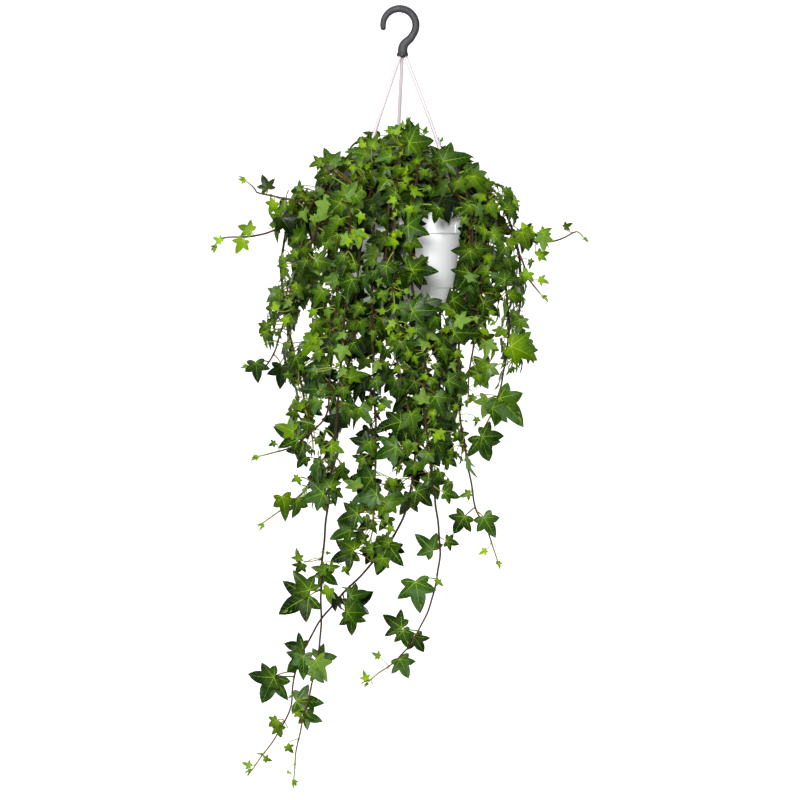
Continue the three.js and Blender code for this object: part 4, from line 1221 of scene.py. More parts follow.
TRACED: dict[str, Traced] = {
    "vine_front_centre": Traced(
        route=[[-1, -40, -156], [-5, -85, -183], [-8, -118, -220], [-10, -132, -272], [-11, -134, -323],
            [-2, -128, -389]],
        leaves=[[11, -346, 41, -344, -8], [10, -365, 9, -377, -14]],
    ),
    "vine_longest": Traced(
        route=[[-29, -55, -173], [-49, -105, -203], [-60, -128, -249], [-65, -132, -335], [-72, -130, -427],
            [-80, -126, -513], [-93, -121, -640], [-96, -118, -734], [-115, -114, -818], [-123, -112, -855],
            [-127, -110, -897]],
        leaves=[[-98, -415, -112, -413, -9], [-91, -555, -118, -563, -10], [-93, -648, -76, -664, 9],
            [-116, -639, -124, -651, 8], [-108, -674, -143, -693, -10], [-100, -750, -76, -748, 10],
            [-123, -800, -93, -801, 9], [-115, -818, -94, -825, 16], [-134, -850, -126, -860, -7],
            [-134, -881, -128, -883, -6]],
        bare_below=-540,
    ),
    "vine_sweeping_left": Traced(
        route=[[11, -50, -179], [6, -88, -214], [2, -98, -278], [9, -100, -347], [18, -101, -405],
            [18, -101, -475], [9, -98, -556], [-6, -96, -601], [-35, -94, -640], [-92, -90, -703],
            [-124, -86, -764], [-131, -84, -811], [-149, -82, -847], [-169, -80, -875], [-179, -80, -890]],
        leaves=[[16, -555, 35, -572, -10], [-9, -621, -9, -641, 9], [-17, -617, -30, -652, -9],
            [-39, -627, -24, -644, 9], [-58, -626, -84, -637, -10], [-60, -694, -36, -675, 9],
            [-61, -699, -58, -724, -10], [-116, -743, -139, -737, 9], [-115, -749, -135, -768, -9],
            [-149, -773, -166, -807, -9], [-146, -832, -141, -847, -8], [-162, -871, -152, -874, -7],
            [-178, -880, -188, -876, -6]],
        bare_below=-545,
    ),
    "vine_hooked_right": Traced(
        route=[[20, -60, -173], [14, -104, -214], [10, -117, -272], [13, -120, -335], [25, -122, -387],
            [26, -120, -468], [38, -116, -568], [43, -114, -616], [41, -112, -647], [30, -108, -693],
            [4, -104, -741], [-30, -101, -770], [-43, -100, -781]],
        leaves=[[48, -555, 67, -560, -9], [35, -624, 16, -606, 9], [51, -613, 66, -617, 8],
            [40, -658, 47, -664, -7], [15, -659, 21, -694, -9], [-1, -715, -24, -702, 9],
            [0, -717, 7, -737, -9], [14, -727, 25, -747, 16], [-3, -750, 7, -773, -9],
            [-27, -750, -36, -745, 8], [-42, -775, -46, -764, -6]],
        bare_below=-530,
    ),
    "vine_right_of_centre": Traced(
        route=[[56, -45, -178], [74, -82, -214], [80, -94, -278], [65, -100, -388], [64, -100, -445],
            [69, -98, -486], [79, -94, -545], [86, -92, -580], [98, -90, -601], [111, -86, -640]],
        leaves=[[52, -427, 72, -436, -9], [72, -585, 58, -606, -9], [94, -586, 108, -609, -10],
            [97, -625, 88, -630, -8]],
        bare_below=-520,
    ),
    "vine_behind_right": Traced(
        route=[[53, -62, -202], [75, -76, -237], [78, -78, -296], [64, -80, -357], [45, -84, -420],
            [40, -86, -482], [34, -88, -538]],
        leaves=[[38, -477, 60, -480, -9], [51, -520, 52, -534, -8]],
    ),
    "vine_right": Traced(
        route=[[70, -20, -184], [97, -48, -214], [110, -60, -249], [122, -64, -337], [124, -62, -378],
            [112, -58, -448], [90, -54, -498]],
        leaves=[[137, -358, 133, -376, -8], [126, -389, 158, -403, -9], [100, -413, 72, -424, -9],
            [84, -449, 75, -458, 9], [113, -450, 143, -479, -10], [104, -461, 123, -477, -20],
            [93, -495, 120, -494, -10], [92, -497, 103, -528, 9]],
        bare_below=-370,
    ),
    "shoot_far_right": Traced(
        route=[[81, -4, -193], [107, -14, -225], [125, -26, -253], [138, -34, -263], [154, -38, -268],
            [172, -40, -268], [190, -42, -263], [204, -42, -256], [213, -42, -264]],
        branch=[[125, -26, -253], [136, -33, -279], [142, -36, -295], [149, -38, -313], [167, -38, -335]],
        leaves=[[148, -260, 139, -245, -8], [163, -258, 175, -251, -9], [189, -251, 199, -246, -8],
            [159, -285, 172, -279, -9], [147, -304, 140, -318, -8], [160, -312, 172, -316, -9]],
        bare_below=-240,
    ),
    "shoot_far_left": Traced(
        route=[[-74, -5, -193], [-103, -28, -222], [-127, -38, -242], [-150, -42, -254],
            [-172, -44, -261], [-212, -46, -264], [-219, -46, -273]],
        branch=[[-103, -28, -222], [-124, -24, -220], [-144, -24, -216], [-170, -26, -211],
            [-175, -26, -204], [-188, -26, -194]],
        leaves=[[-140, -246, -155, -235, -9], [-177, -256, -193, -247, -9], [-186, -266, -195, -281, -8],
            [-212, -268, -222, -262, -7], [-158, -206, -165, -190, -8], [-150, -222, -158, -236, -8]],
        bare_below=-228,
    ),
    "vine_left_outer": Traced(
        route=[[-80, -35, -198], [-111, -58, -234], [-117, -64, -278], [-122, -66, -325],
            [-138, -66, -360], [-149, -66, -395], [-166, -66, -419], [-182, -66, -414]],
        leaves=[[-141, -413, -143, -439, 8], [-171, -408, -168, -431, -8], [-158, -364, -168, -375, -8],
            [-160, -372, -159, -386, -14]],
        bare_below=-350,
    ),
    "vine_left": Traced(
        route=[[-67, -60, -210], [-98, -82, -252], [-119, -86, -307], [-131, -86, -365],
            [-120, -86, -422], [-106, -82, -488], [-104, -82, -511]],
        leaves=[[-124, -401, -113, -421, -9], [-97, -438, -121, -438, -9], [-110, -477, -112, -496, -9]],
    ),
    "vine_left_forked": Traced(
        route=[[-59, -85, -214], [-70, -106, -266], [-76, -110, -335], [-84, -110, -428],
            [-88, -110, -466], [-107, -104, -488], [-132, -100, -506], [-172, -96, -517]],
        leaves=[[-74, -468, -83, -494, 9], [-121, -495, -147, -479, -9], [-116, -507, -135, -510, 8],
            [-147, -499, -156, -503, -8]],
        bare_below=-500,
    ),
    "vine_left_low": Traced(
        route=[[-36, -85, -208], [-47, -114, -266], [-54, -116, -335], [-56, -114, -377],
            [-68, -106, -434], [-74, -98, -486], [-96, -98, -526], [-118, -98, -560], [-163, -94, -594]],
        leaves=[[-112, -517, -124, -530, 9]],
    ),
    "vine_front_left": Traced(
        route=[[-20, -75, -191], [-33, -108, -249], [-35, -116, -335], [-33, -118, -427],
            [-31, -116, -485], [-33, -112, -584], [-39, -110, -618]],
        leaves=[[-39, -500, -60, -492, -9], [-30, -557, -58, -564, -10], [-52, -579, -76, -587, -18],
            [-60, -601, -84, -610, 8]],
    ),
    "vine_front_inner": Traced(
        route=[[-12, -90, -194], [-18, -110, -255], [-18, -108, -335], [-9, -108, -393],
            [7, -108, -468], [-5, -104, -532]],
        leaves=[[-1, -478, 8, -508, -9], [-7, -502, -33, -515, -20], [4, -496, 6, -510, -28]],
    ),
    "vine_right_inner": Traced(
        route=[[79, -45, -214], [94, -62, -261], [91, -74, -325], [78, -76, -418], [76, -76, -453]],
        leaves=[[94, -338, 112, -353, -9], [80, -374, 60, -375, -9], [70, -358, 67, -374, 8]],
    ),
    "vine_side_right": Traced(
        route=[[95, 14, -205], [126, 16, -241], [141, 16, -305], [136, 14, -381], [130, 12, -420]],
        leaves=[],
    ),
    "vine_side_left": Traced(
        route=[[-95, 14, -204], [-131, 14, -237], [-144, 14, -291], [-140, 12, -351], [-126, 12, -455]],
        leaves=[],
    ),
}

CROWN_SHOOTS: dict[str, Sequence[Sequence[float]]] = {
    "crown_shoot_middle": [[-6, 2, -205], [-4, -6, -165], [6, -16, -128]],
    "crown_shoot_front": [[12, -10, -208], [20, -22, -170], [26, -36, -138]],
    "crown_shoot_left": [[-20, 2, -208], [-34, 2, -178], [-46, 0, -148]],
    "crown_shoot_right": [[20, 8, -208], [34, 10, -178], [46, 12, -150]],
    "crown_shoot_back_right": [[14, 16, -208], [22, 30, -178], [28, 46, -148]],
    "crown_shoot_back_left": [[-12, 16, -208], [-24, 30, -178], [-36, 44, -150]],
}


SEEN: tuple[tuple[int, int, int, int, int], ...] = (
    # the crown's top and middle
    (408, 142, 414, 116, 0), (409, 143, 436, 140, 0), (443, 161, 473, 156, 0), (443, 162, 440, 171, 0),
    (441, 158, 430, 145, 0), (473, 175, 489, 173, 2), (474, 176, 484, 196, 3), (458, 181, 452, 199, 3),
    (458, 181, 466, 193, 2), (486, 184, 497, 182, 2), (487, 186, 494, 193, 2), (485, 197, 481, 210, 8),
    (484, 197, 470, 197, 7), (487, 197, 494, 193, 6), (416, 160, 413, 169, 8), (416, 161, 425, 158, 7),
    (406, 171, 407, 164, 9), (406, 171, 402, 176, 9), (394, 200, 393, 210, 9), (396, 213, 392, 219, 9),
    (400, 232, 392, 240, 9), (410, 188, 420, 187, 4), (412, 192, 424, 195, 5), (404, 180, 414, 178, 4),
    (393, 156, 400, 166, 6), (402, 152, 399, 158, 7), (424, 170, 420, 181, 0), (447, 186, 430, 192, 1),
    (366, 155, 347, 148, 1), (363, 147, 360, 138, 7), (369, 143, 370, 131, 1), (372, 146, 378, 134, 5),
    (383, 148, 382, 138, 8), (391, 133, 390, 124, 8), (388, 131, 383, 130, 8), (397, 134, 400, 124, 8),
    (403, 126, 403, 119, 9), (402, 145, 397, 138, 8), (330, 162, 324, 147, 1), (331, 162, 342, 152, 1),
    (321, 162, 308, 165, 0), (344, 163, 353, 153, 1), (360, 166, 363, 157, 7), (366, 168, 372, 161, 8),
    (352, 166, 353, 176, 8), (350, 163, 342, 163, 8), (356, 166, 350, 165, 9), (362, 166, 356, 174, 3),
    (366, 164, 374, 174, 1), (391, 156, 374, 161, 0), (326, 171, 315, 174, 1), (326, 175, 333, 184, 3),
    (322, 178, 317, 189, 0), (322, 190, 315, 199, 1), (342, 200, 330, 190, 2), (346, 196, 358, 181, 3),
    (346, 190, 358, 188, 7), (371, 173, 375, 188, 0), (364, 178, 361, 190, 1), (387, 180, 377, 192, 2),
    (396, 193, 379, 200, 1), (386, 167, 379, 178, 1), (400, 168, 394, 180, 3), (401, 175, 396, 186, 4),
    (404, 184, 398, 195, 4), (362, 190, 350, 196, 0), (356, 196, 364, 208, 1), (368, 207, 372, 220, 2),
    (371, 207, 383, 210, 1), (351, 210, 360, 212, 2), (362, 214, 358, 225, 8), (357, 232, 360, 249, 7),
    (357, 231, 364, 238, -1), (366, 222, 372, 232, 0), (374, 221, 362, 225, 1), (382, 218, 390, 230, 0),
    (395, 199, 386, 203, 8), (385, 238, 366, 242, 2), (393, 236, 400, 231, 9), (395, 240, 384, 246, 8),
    (376, 252, 360, 258, 5), (374, 260, 362, 266, 2), (413, 210, 427, 214, 5), (413, 210, 422, 200, 4),
    (410, 207, 408, 220, 7), (442, 198, 449, 224, 0), (441, 198, 426, 209, 0), (439, 208, 432, 224, 0),
    # round the gap that shows the pot
    (408, 241, 424, 247, 3), (412, 271, 427, 287, 0), (413, 271, 438, 270, 0), (412, 270, 426, 253, 1),
    (408, 225, 429, 235, 0), (407, 224, 428, 221, 0), (464, 218, 460, 227, 5), (465, 218, 470, 228, 2),
    (470, 206, 459, 216, 1), (474, 207, 460, 203, 0), (477, 207, 486, 220, 0), (484, 229, 474, 225, 0),
    (484, 230, 485, 242, 0), (492, 231, 505, 229, 0), (492, 232, 497, 246, 3), (469, 250, 450, 252, 0),
    (470, 251, 473, 270, 1), (476, 248, 492, 249, 0), (488, 271, 474, 272, 6), (467, 281, 454, 285, 0),
    (467, 283, 460, 298, 0), (468, 279, 480, 274, 0), (486, 277, 492, 287, 8), (501, 278, 493, 284, 1),
    # the right shoulder and side
    (477, 203, 468, 215, 0), (488, 205, 498, 218, 3), (506, 228, 494, 233, 0), (508, 243, 521, 241, 0),
    (494, 235, 503, 247, 3), (505, 247, 496, 261, 1), (509, 259, 512, 275, 1), (506, 280, 519, 278, 0),
    (505, 280, 489, 273, 0), (523, 279, 527, 289, 3), (520, 278, 519, 289, 1), (486, 256, 492, 269, 6),
    (505, 190, 515, 197, 0), (508, 207, 499, 198, 2), (508, 208, 504, 215, 0), (509, 210, 518, 221, 0),
    (514, 203, 521, 199, 6), (516, 205, 519, 212, 5), (544, 235, 543, 252, -1), (522, 232, 529, 252, 3),
    (523, 231, 538, 235, 4), (522, 230, 522, 220, 5), (531, 259, 538, 249, 4), (530, 260, 532, 270, 4),
    (537, 286, 546, 278, 7), (484, 301, 478, 318, 0), (491, 311, 495, 318, 0), (452, 300, 474, 312, 0),
    (455, 312, 437, 303, 3), (457, 320, 474, 321, -1), (454, 333, 484, 332, 0), (448, 329, 438, 331, 4),
    (485, 329, 480, 340, 7), (474, 335, 475, 343, 6), (495, 322, 489, 326, 0), (502, 329, 495, 340, 4),
    (511, 346, 539, 358, 3), (488, 365, 485, 385, 2), (486, 342, 487, 359, -1), (521, 321, 517, 333, 4),
    (510, 295, 525, 297, 4), (456, 352, 465, 359, 5), (447, 377, 465, 385, 2), (453, 363, 455, 373, -1),
    (479, 376, 479, 387, 0), (477, 395, 468, 405, 1), (501, 399, 527, 424, -1), (493, 412, 510, 422, 0),
    (488, 399, 483, 419, -1), (483, 440, 491, 466, 2), (484, 438, 507, 437, 1), (451, 453, 447, 469, 3),
    (465, 421, 469, 422, 9), (457, 433, 457, 439, 8), (443, 487, 462, 493, 0), (470, 493, 459, 497, 0),
    (457, 405, 453, 412, 5),
    # the left shoulder and side
    (281, 218, 295, 236, 1), (282, 217, 285, 200, 3), (289, 205, 299, 212, 4), (298, 238, 306, 224, 1),
    (297, 239, 288, 246, 3), (341, 203, 325, 216, 1), (340, 219, 332, 231, 2), (283, 261, 282, 252, 4),
    (286, 264, 276, 267, 4), (284, 268, 282, 276, 5), (296, 252, 288, 260, 4), (302, 249, 308, 260, 2),
    (307, 261, 299, 274, 1), (316, 260, 335, 264, 2), (344, 256, 335, 267, 1), (348, 238, 338, 246, 7),
    (351, 233, 351, 249, -1), (325, 234, 321, 246, 0), (327, 242, 335, 252, 0), (337, 280, 324, 282, 2),
    (299, 274, 319, 277, 1), (294, 285, 300, 295, 6), (302, 196, 294, 191, 0), (300, 190, 299, 179, 1),
    (305, 199, 312, 193, 0), (279, 292, 266, 302, 1), (278, 292, 279, 284, 2), (277, 293, 286, 297, 5),
    (276, 310, 273, 299, 8), (290, 301, 283, 309, -1), (291, 309, 300, 311, 0), (293, 318, 300, 316, 0),
    (289, 316, 292, 328, 5), (286, 318, 284, 329, 6), (270, 322, 257, 334, 1), (270, 323, 275, 314, 1),
    (267, 331, 264, 341, 3), (266, 343, 267, 349, 8), (277, 332, 282, 339, 2), (275, 334, 272, 330, 8),
    (289, 344, 283, 350, 0), (294, 353, 288, 358, 3), (296, 359, 305, 361, 0), (300, 366, 305, 374, 0),
    (281, 366, 279, 390, 1), (287, 373, 293, 383, 0), (316, 339, 300, 356, 4), (316, 338, 302, 334, 4),
    (314, 323, 324, 336, 2), (323, 291, 311, 307, 1), (314, 310, 308, 320, 7), (326, 310, 330, 322, 6),
    (328, 365, 305, 367, 1), (319, 351, 319, 363, 2), (297, 288, 303, 300, 2), (303, 290, 312, 298, 3),
    (344, 333, 336, 341, -1), (354, 325, 343, 330, 2), (338, 363, 335, 369, 7), (344, 369, 337, 379, -1),
    # the middle, under the pot
    (413, 309, 438, 307, 0), (411, 322, 410, 333, 10), (416, 322, 423, 325, 9), (436, 317, 425, 331, 0),
    (416, 329, 427, 340, 0), (427, 341, 411, 343, 5), (415, 351, 432, 366, 0), (409, 352, 406, 363, 5),
    (413, 357, 419, 365, 9), (392, 338, 385, 347, 4), (392, 338, 402, 336, 6), (394, 322, 386, 329, 8),
    (384, 312, 375, 309, 5), (381, 318, 386, 332, 2), (362, 306, 347, 311, 2), (361, 307, 353, 317, 2),
    (363, 305, 368, 317, 0), (363, 321, 346, 332, 2), (360, 322, 364, 337, 1), (378, 342, 382, 352, 8),
    (366, 359, 358, 372, 5), (379, 363, 372, 374, -1), (350, 378, 369, 371, 2), (386, 362, 387, 374, 0),
    (396, 367, 401, 375, 9), (426, 375, 418, 381, 8), (386, 292, 386, 301, 1), (375, 300, 367, 303, -1),
    (398, 293, 399, 301, 6), (405, 291, 413, 293, 5), (401, 422, 373, 427, 0), (411, 414, 415, 438, 1),
    (397, 444, 377, 454, 0), (402, 436, 407, 448, 10), (370, 440, 351, 431, 1), (370, 442, 373, 459, 1),
    (370, 402, 361, 404, 1), (371, 402, 381, 395, 0), (370, 403, 372, 412, 0), (360, 408, 371, 424, 1),
    (383, 405, 377, 413, 8), (399, 388, 399, 405, 0), (418, 396, 415, 407, 3), (424, 402, 421, 388, -1),
    (436, 408, 426, 414, 8), (432, 412, 434, 421, 9), (436, 421, 456, 421, 0), (436, 422, 427, 426, 1),
    (438, 434, 433, 444, 7), (439, 431, 445, 441, 7), (414, 465, 402, 476, 0), (414, 465, 425, 471, 0),
    (362, 459, 351, 454, 1), (362, 459, 359, 471, 1), (369, 460, 375, 468, 5), (362, 465, 364, 474, 8),
    (319, 389, 299, 388, 0), (320, 389, 334, 393, 0), (319, 401, 311, 415, 1), (307, 421, 308, 433, 2),
    (306, 421, 298, 418, 3), (300, 423, 298, 440, 3), (302, 408, 294, 399, 4), (293, 411, 292, 424, 1),
    (293, 431, 275, 424, 3), (300, 441, 288, 452, 3), (303, 452, 298, 464, -1), (289, 440, 286, 446, -1),
    (275, 443, 268, 441, 8), (340, 417, 336, 437, -1), (343, 388, 344, 402, 1), (316, 439, 324, 446, 1),
    (331, 446, 345, 453, 3), (325, 450, 319, 455, 4), (331, 458, 335, 462, 0), (351, 411, 344, 424, 0),
    # the trails
    (325, 489, 299, 498, 0), (330, 487, 336, 470, 2), (298, 477, 290, 482, 6), (298, 478, 300, 487, 6),
    (282, 497, 289, 518, 3), (297, 500, 295, 521, 1), (372, 478, 351, 476, 0), (377, 490, 354, 497, 0),
    (357, 488, 344, 476, -1), (386, 504, 367, 504, 2), (388, 503, 407, 501, 1), (384, 509, 388, 522, -1),
    (360, 512, 339, 516, 0), (360, 512, 350, 500, 1), (354, 530, 331, 535, 1), (354, 530, 350, 518, 2),
    (366, 517, 367, 528, 2), (354, 550, 329, 560, -1), (354, 549, 338, 538, 2), (372, 549, 358, 551, 0),
    (371, 549, 379, 556, 0), (389, 543, 375, 539, 2), (390, 543, 376, 563, 0), (391, 548, 395, 562, 3),
    (383, 558, 376, 573, 2), (325, 570, 311, 567, 1), (329, 568, 341, 566, 0), (328, 568, 332, 582, 0),
    (345, 567, 349, 577, 3), (299, 560, 296, 548, 3), (299, 560, 300, 572, 3), (309, 591, 279, 608, 0),
    (309, 590, 293, 571, 1), (350, 596, 371, 593, 0), (347, 612, 369, 614, 0), (347, 612, 351, 626, 1),
    (338, 597, 331, 613, 1), (330, 589, 328, 606, 6), (326, 553, 332, 553, 4), (274, 678, 259, 707, 0),
    (274, 677, 245, 679, 0), (303, 641, 285, 654, 0), (302, 655, 287, 672, 0), (303, 656, 304, 678, 0),
    (316, 657, 335, 655, 0), (316, 661, 326, 682, -1), (315, 672, 323, 685, 0), (294, 701, 323, 702, -1),
    (297, 712, 303, 722, 0), (308, 713, 320, 722, 0), (277, 720, 267, 728, 0), (287, 698, 285, 695, 8),
)

GAPS: tuple[tuple[int, int, int], ...] = (
    (319, 251, 5), (323, 247, 3), (293, 219, 3), (293, 212, 2), (293, 261, 4), (288, 271, 3), (288, 277, 3),
    (312, 245, 3), (310, 236, 2), (323, 268, 2), (328, 272, 3), (323, 286, 2), (330, 287, 3), (300, 204, 2),
    (306, 311, 7), (300, 325, 6), (298, 334, 6), (297, 341, 4), (296, 346, 3), (311, 292, 2), (332, 288, 3),
    (333, 293, 4), (319, 316, 3), (309, 323, 3), (305, 339, 2), (340, 360, 5), (335, 366, 3), (308, 357, 5),
    (280, 322, 5), (283, 312, 3), (285, 334, 4), (284, 339, 3), (268, 356, 5), (369, 293, 2), (372, 310, 3),
    (404, 300, 3), (406, 315, 2), (401, 327, 2), (441, 314, 4), (439, 331, 4), (433, 358, 5), (430, 370, 4),
    (379, 388, 3), (426, 386, 3), (439, 385, 3), (467, 303, 3), (439, 308, 3), (488, 324, 3), (495, 329, 3),
    (461, 323, 2), (466, 347, 10), (469, 364, 7), (512, 381, 8), (495, 381, 4), (469, 381, 3), (484, 390, 4),
    (500, 364, 2), (498, 189, 3), (496, 208, 3), (499, 213, 2), (506, 219, 4), (512, 223, 3), (480, 238, 3),
    (473, 239, 2), (490, 243, 2), (495, 249, 2), (510, 233, 3), (379, 395, 4), (383, 390, 3), (358, 400, 4),
    (351, 405, 3), (352, 392, 2), (367, 391, 2), (398, 407, 2), (430, 406, 4), (413, 397, 2), (350, 433, 5),
    (420, 426, 3), (429, 430, 3), (430, 436, 3), (421, 444, 4), (379, 432, 3), (383, 460, 6), (386, 471, 8),
    (432, 463, 3), (440, 463, 4), (427, 467, 3), (290, 392, 8), (308, 397, 4), (323, 411, 2), (326, 401, 2),
    (320, 426, 5), (319, 420, 3), (312, 445, 3), (312, 456, 5), (344, 439, 5), (347, 449, 7), (332, 391, 2),
    (351, 406, 2), (465, 414, 8), (469, 428, 6), (471, 408, 4), (455, 417, 3), (459, 471, 10), (458, 447, 3),
    (477, 459, 3), (492, 425, 3), (481, 478, 12), (334, 170, 2), (339, 181, 2), (369, 249, 6), (365, 243, 3),
    (379, 256, 4), (372, 229, 3), (385, 233, 2), (400, 254, 5), (496, 190, 3), (429, 161, 3), (430, 168, 2),
)

MOUND: tuple[tuple[int, int], ...] = (
    (322, 800), (322, 530), (316, 512), (298, 504), (300, 488), (310, 474), (309, 464), (290, 453), (281, 440),
    (277, 428), (288, 421), (288, 410), (293, 398), (304, 400), (300, 386), (286, 391), (277, 388), (272, 366),
    (280, 356), (282, 342), (289, 336), (284, 322), (270, 348), (260, 346), (256, 330), (266, 312), (266, 300),
    (262, 296), (278, 284), (283, 282), (281, 272), (274, 268), (279, 256), (283, 251),
    (288, 253), (293, 244), (280, 238), (273, 228), (272, 221), (277, 213), (278, 198), (294, 191), (299, 179),
    (305, 187), (311, 192), (316, 188), (315, 174), (321, 170), (308, 165), (321, 160), (324, 147), (333, 154),
    (342, 151), (344, 157), (353, 152), (357, 154), (347, 148), (358, 142), (358, 137), (370, 131), (384, 130),
    (391, 124), (396, 128), (403, 118), (406, 124), (414, 116), (418, 124), (423, 127), (419, 131), (436, 140),
    (427, 141), (427, 146), (440, 148), (454, 149), (463, 145), (467, 153), (473, 156), (470, 162), (475, 168),
    (489, 173), (484, 180), (497, 181), (512, 192), (521, 198), (521, 210), (519, 222), (538, 236), (530, 252),
    (520, 241), (514, 254), (518, 270), (527, 282), (525, 297), (513, 305), (523, 313), (528, 333), (540, 358),
    (520, 368), (506, 388), (528, 425), (509, 424), (508, 438), (497, 455), (491, 468), (470, 500), (470, 800),
)

POT_WINDOW: tuple[tuple[int, int], ...] = (
    (443, 217), (432, 223), (430, 225), (417, 233), (424, 248), (416, 249), (412, 258), (425, 253), (430, 262),
    (438, 270), (420, 276), (427, 287), (410, 288), (422, 294), (424, 301), (444, 302), (448, 288), (454, 285),
    (456, 274), (454, 268), (459, 260), (450, 252), (461, 245), (463, 235), (455, 229), (456, 221), (449, 224),
)


@dataclass(frozen=True)
class Holder:
    """The room that the pot, the space under it, the hook and the arms need among the leaves."""

    pot: Pot
    foot_radius: float = 60.0
    foot_depth: float = 60.0
    hook_radius: float = 30.0
    hook_depth: float = 80.0
    arm_top: tuple[float, float] = (3.6, -48.5)
    arm_foot: tuple[float, float] = (69.6, -247.0)

    def clears(self, points: Array, pot_gap: float, arm_gap: float) -> bool:
        """Whether points lie clear of it all.

        Args:
            points: Points of shape (n, 3).
            pot_gap: The least distance to the pot.
            arm_gap: The least distance to an arm's line.

        Returns:
            True where none comes too near.
        """
        radius = np.hypot(points[:, 0], points[:, 1])
        below_rim = self.pot.rim_z - points[:, 2]
        below_foot = below_rim - self.pot.height - pot_gap
        in_pot = (below_rim > -pot_gap) & (below_foot < 0) & (radius < self.pot.rim_radius + pot_gap)
        under = (below_foot >= 0) & (below_foot < self.foot_depth) & (radius < self.foot_radius)
        in_hook = (points[:, 2] > -self.hook_depth) & (radius < self.hook_radius)
        if np.any(in_pot | under | in_hook):
            return False
        for arm in Arm:
            top = polar(self.arm_top[0], arm.azimuth, self.arm_top[1])
            way = polar(self.arm_foot[0], arm.azimuth, self.arm_foot[1]) - top
            share = np.clip((points - top) @ way / (way @ way), 0.0, 1.0)
            if np.any(np.linalg.norm(points - top - share[:, None] * way, axis=1) <= arm_gap):
                return False
        return True


class TakenSpace:
    """Points that stand for stems and leaves, from which the next leaf keeps its distance."""

    def __init__(self, room: int = 20000) -> None:
        """Starts empty, with room for so many points."""
        self.points = np.empty((room, 3))
        self.stem_of = np.full(room, -1)
        self.count = 0

    def add(self, points: Array, stem_of: int = -1) -> None:
        """Adds points; those of a stem carry its vine's number."""
        end = self.count + len(points)
        self.points[self.count : end] = points
        self.stem_of[self.count : end] = stem_of
        self.count = end

    def is_free(self, points: Array, owner: int, leaf_gap: float, own_gap: float) -> bool:
        """Whether points keep off all others, and may come nearer to their own vine's stem.

        Args:
            points: Points of shape (n, 3).
            owner: The vine's number.
            leaf_gap: The least distance to a point.
            own_gap: The least distance to a point of the own stem.

        Returns:
            True where all keep their distance.
        """
        away = np.linalg.norm(points[:, None] - self.points[None, : self.count], axis=-1)
        return bool(np.all(away >= np.where(self.stem_of[: self.count] == owner, own_gap, leaf_gap)))


class Cells:
    """Space cut in small cells, each free or taken: a finer measure of where a blade fits."""

    STEPS = np.array([[0, 0, 0], [1, 0, 0], [-1, 0, 0], [0, 1, 0], [0, -1, 0], [0, 0, 1], [0, 0, -1]])
    LOW = np.array([-260.0, -175.0, -930.0])
    HIGH = np.array([250.0, 175.0, -60.0])
    SIZE = 2.4

    def __init__(self) -> None:
        """Covers a box round the plant with free cells."""
        self.shape = np.ceil((self.HIGH - self.LOW) / self.SIZE).astype(int) + 3
        self.taken = np.zeros(int(np.prod(self.shape)), bool)

    def _are_taken(self, points: Array) -> Array:
        """Whether the cell that each point is in is taken."""
        return self.taken[self._index(points)]

    def _index(self, points: Array) -> Array:
        """Number of the cell that each point is in."""
        cell = np.clip(np.floor((points - self.LOW) / self.SIZE).astype(int) + 1, 1, self.shape - 2)
        return (cell[..., 0] * self.shape[1] + cell[..., 1]) * self.shape[2] + cell[..., 2]

    def take(self, points: Array) -> None:
        """Takes the cells of points and those beside them."""
        for step in self.STEPS:
            self.taken[self._index(points + step * self.SIZE)] = True

    def are_free(self, points: Array) -> Array:
        """Whether all cells of each group of points are free; points have shape (groups, n, 3)."""
        return ~np.any(self._are_taken(points), axis=-1)

    def crossing(self, points: Array) -> float:
        """The share of points that lie in cells already taken."""
        return float(np.mean(self._are_taken(points)))


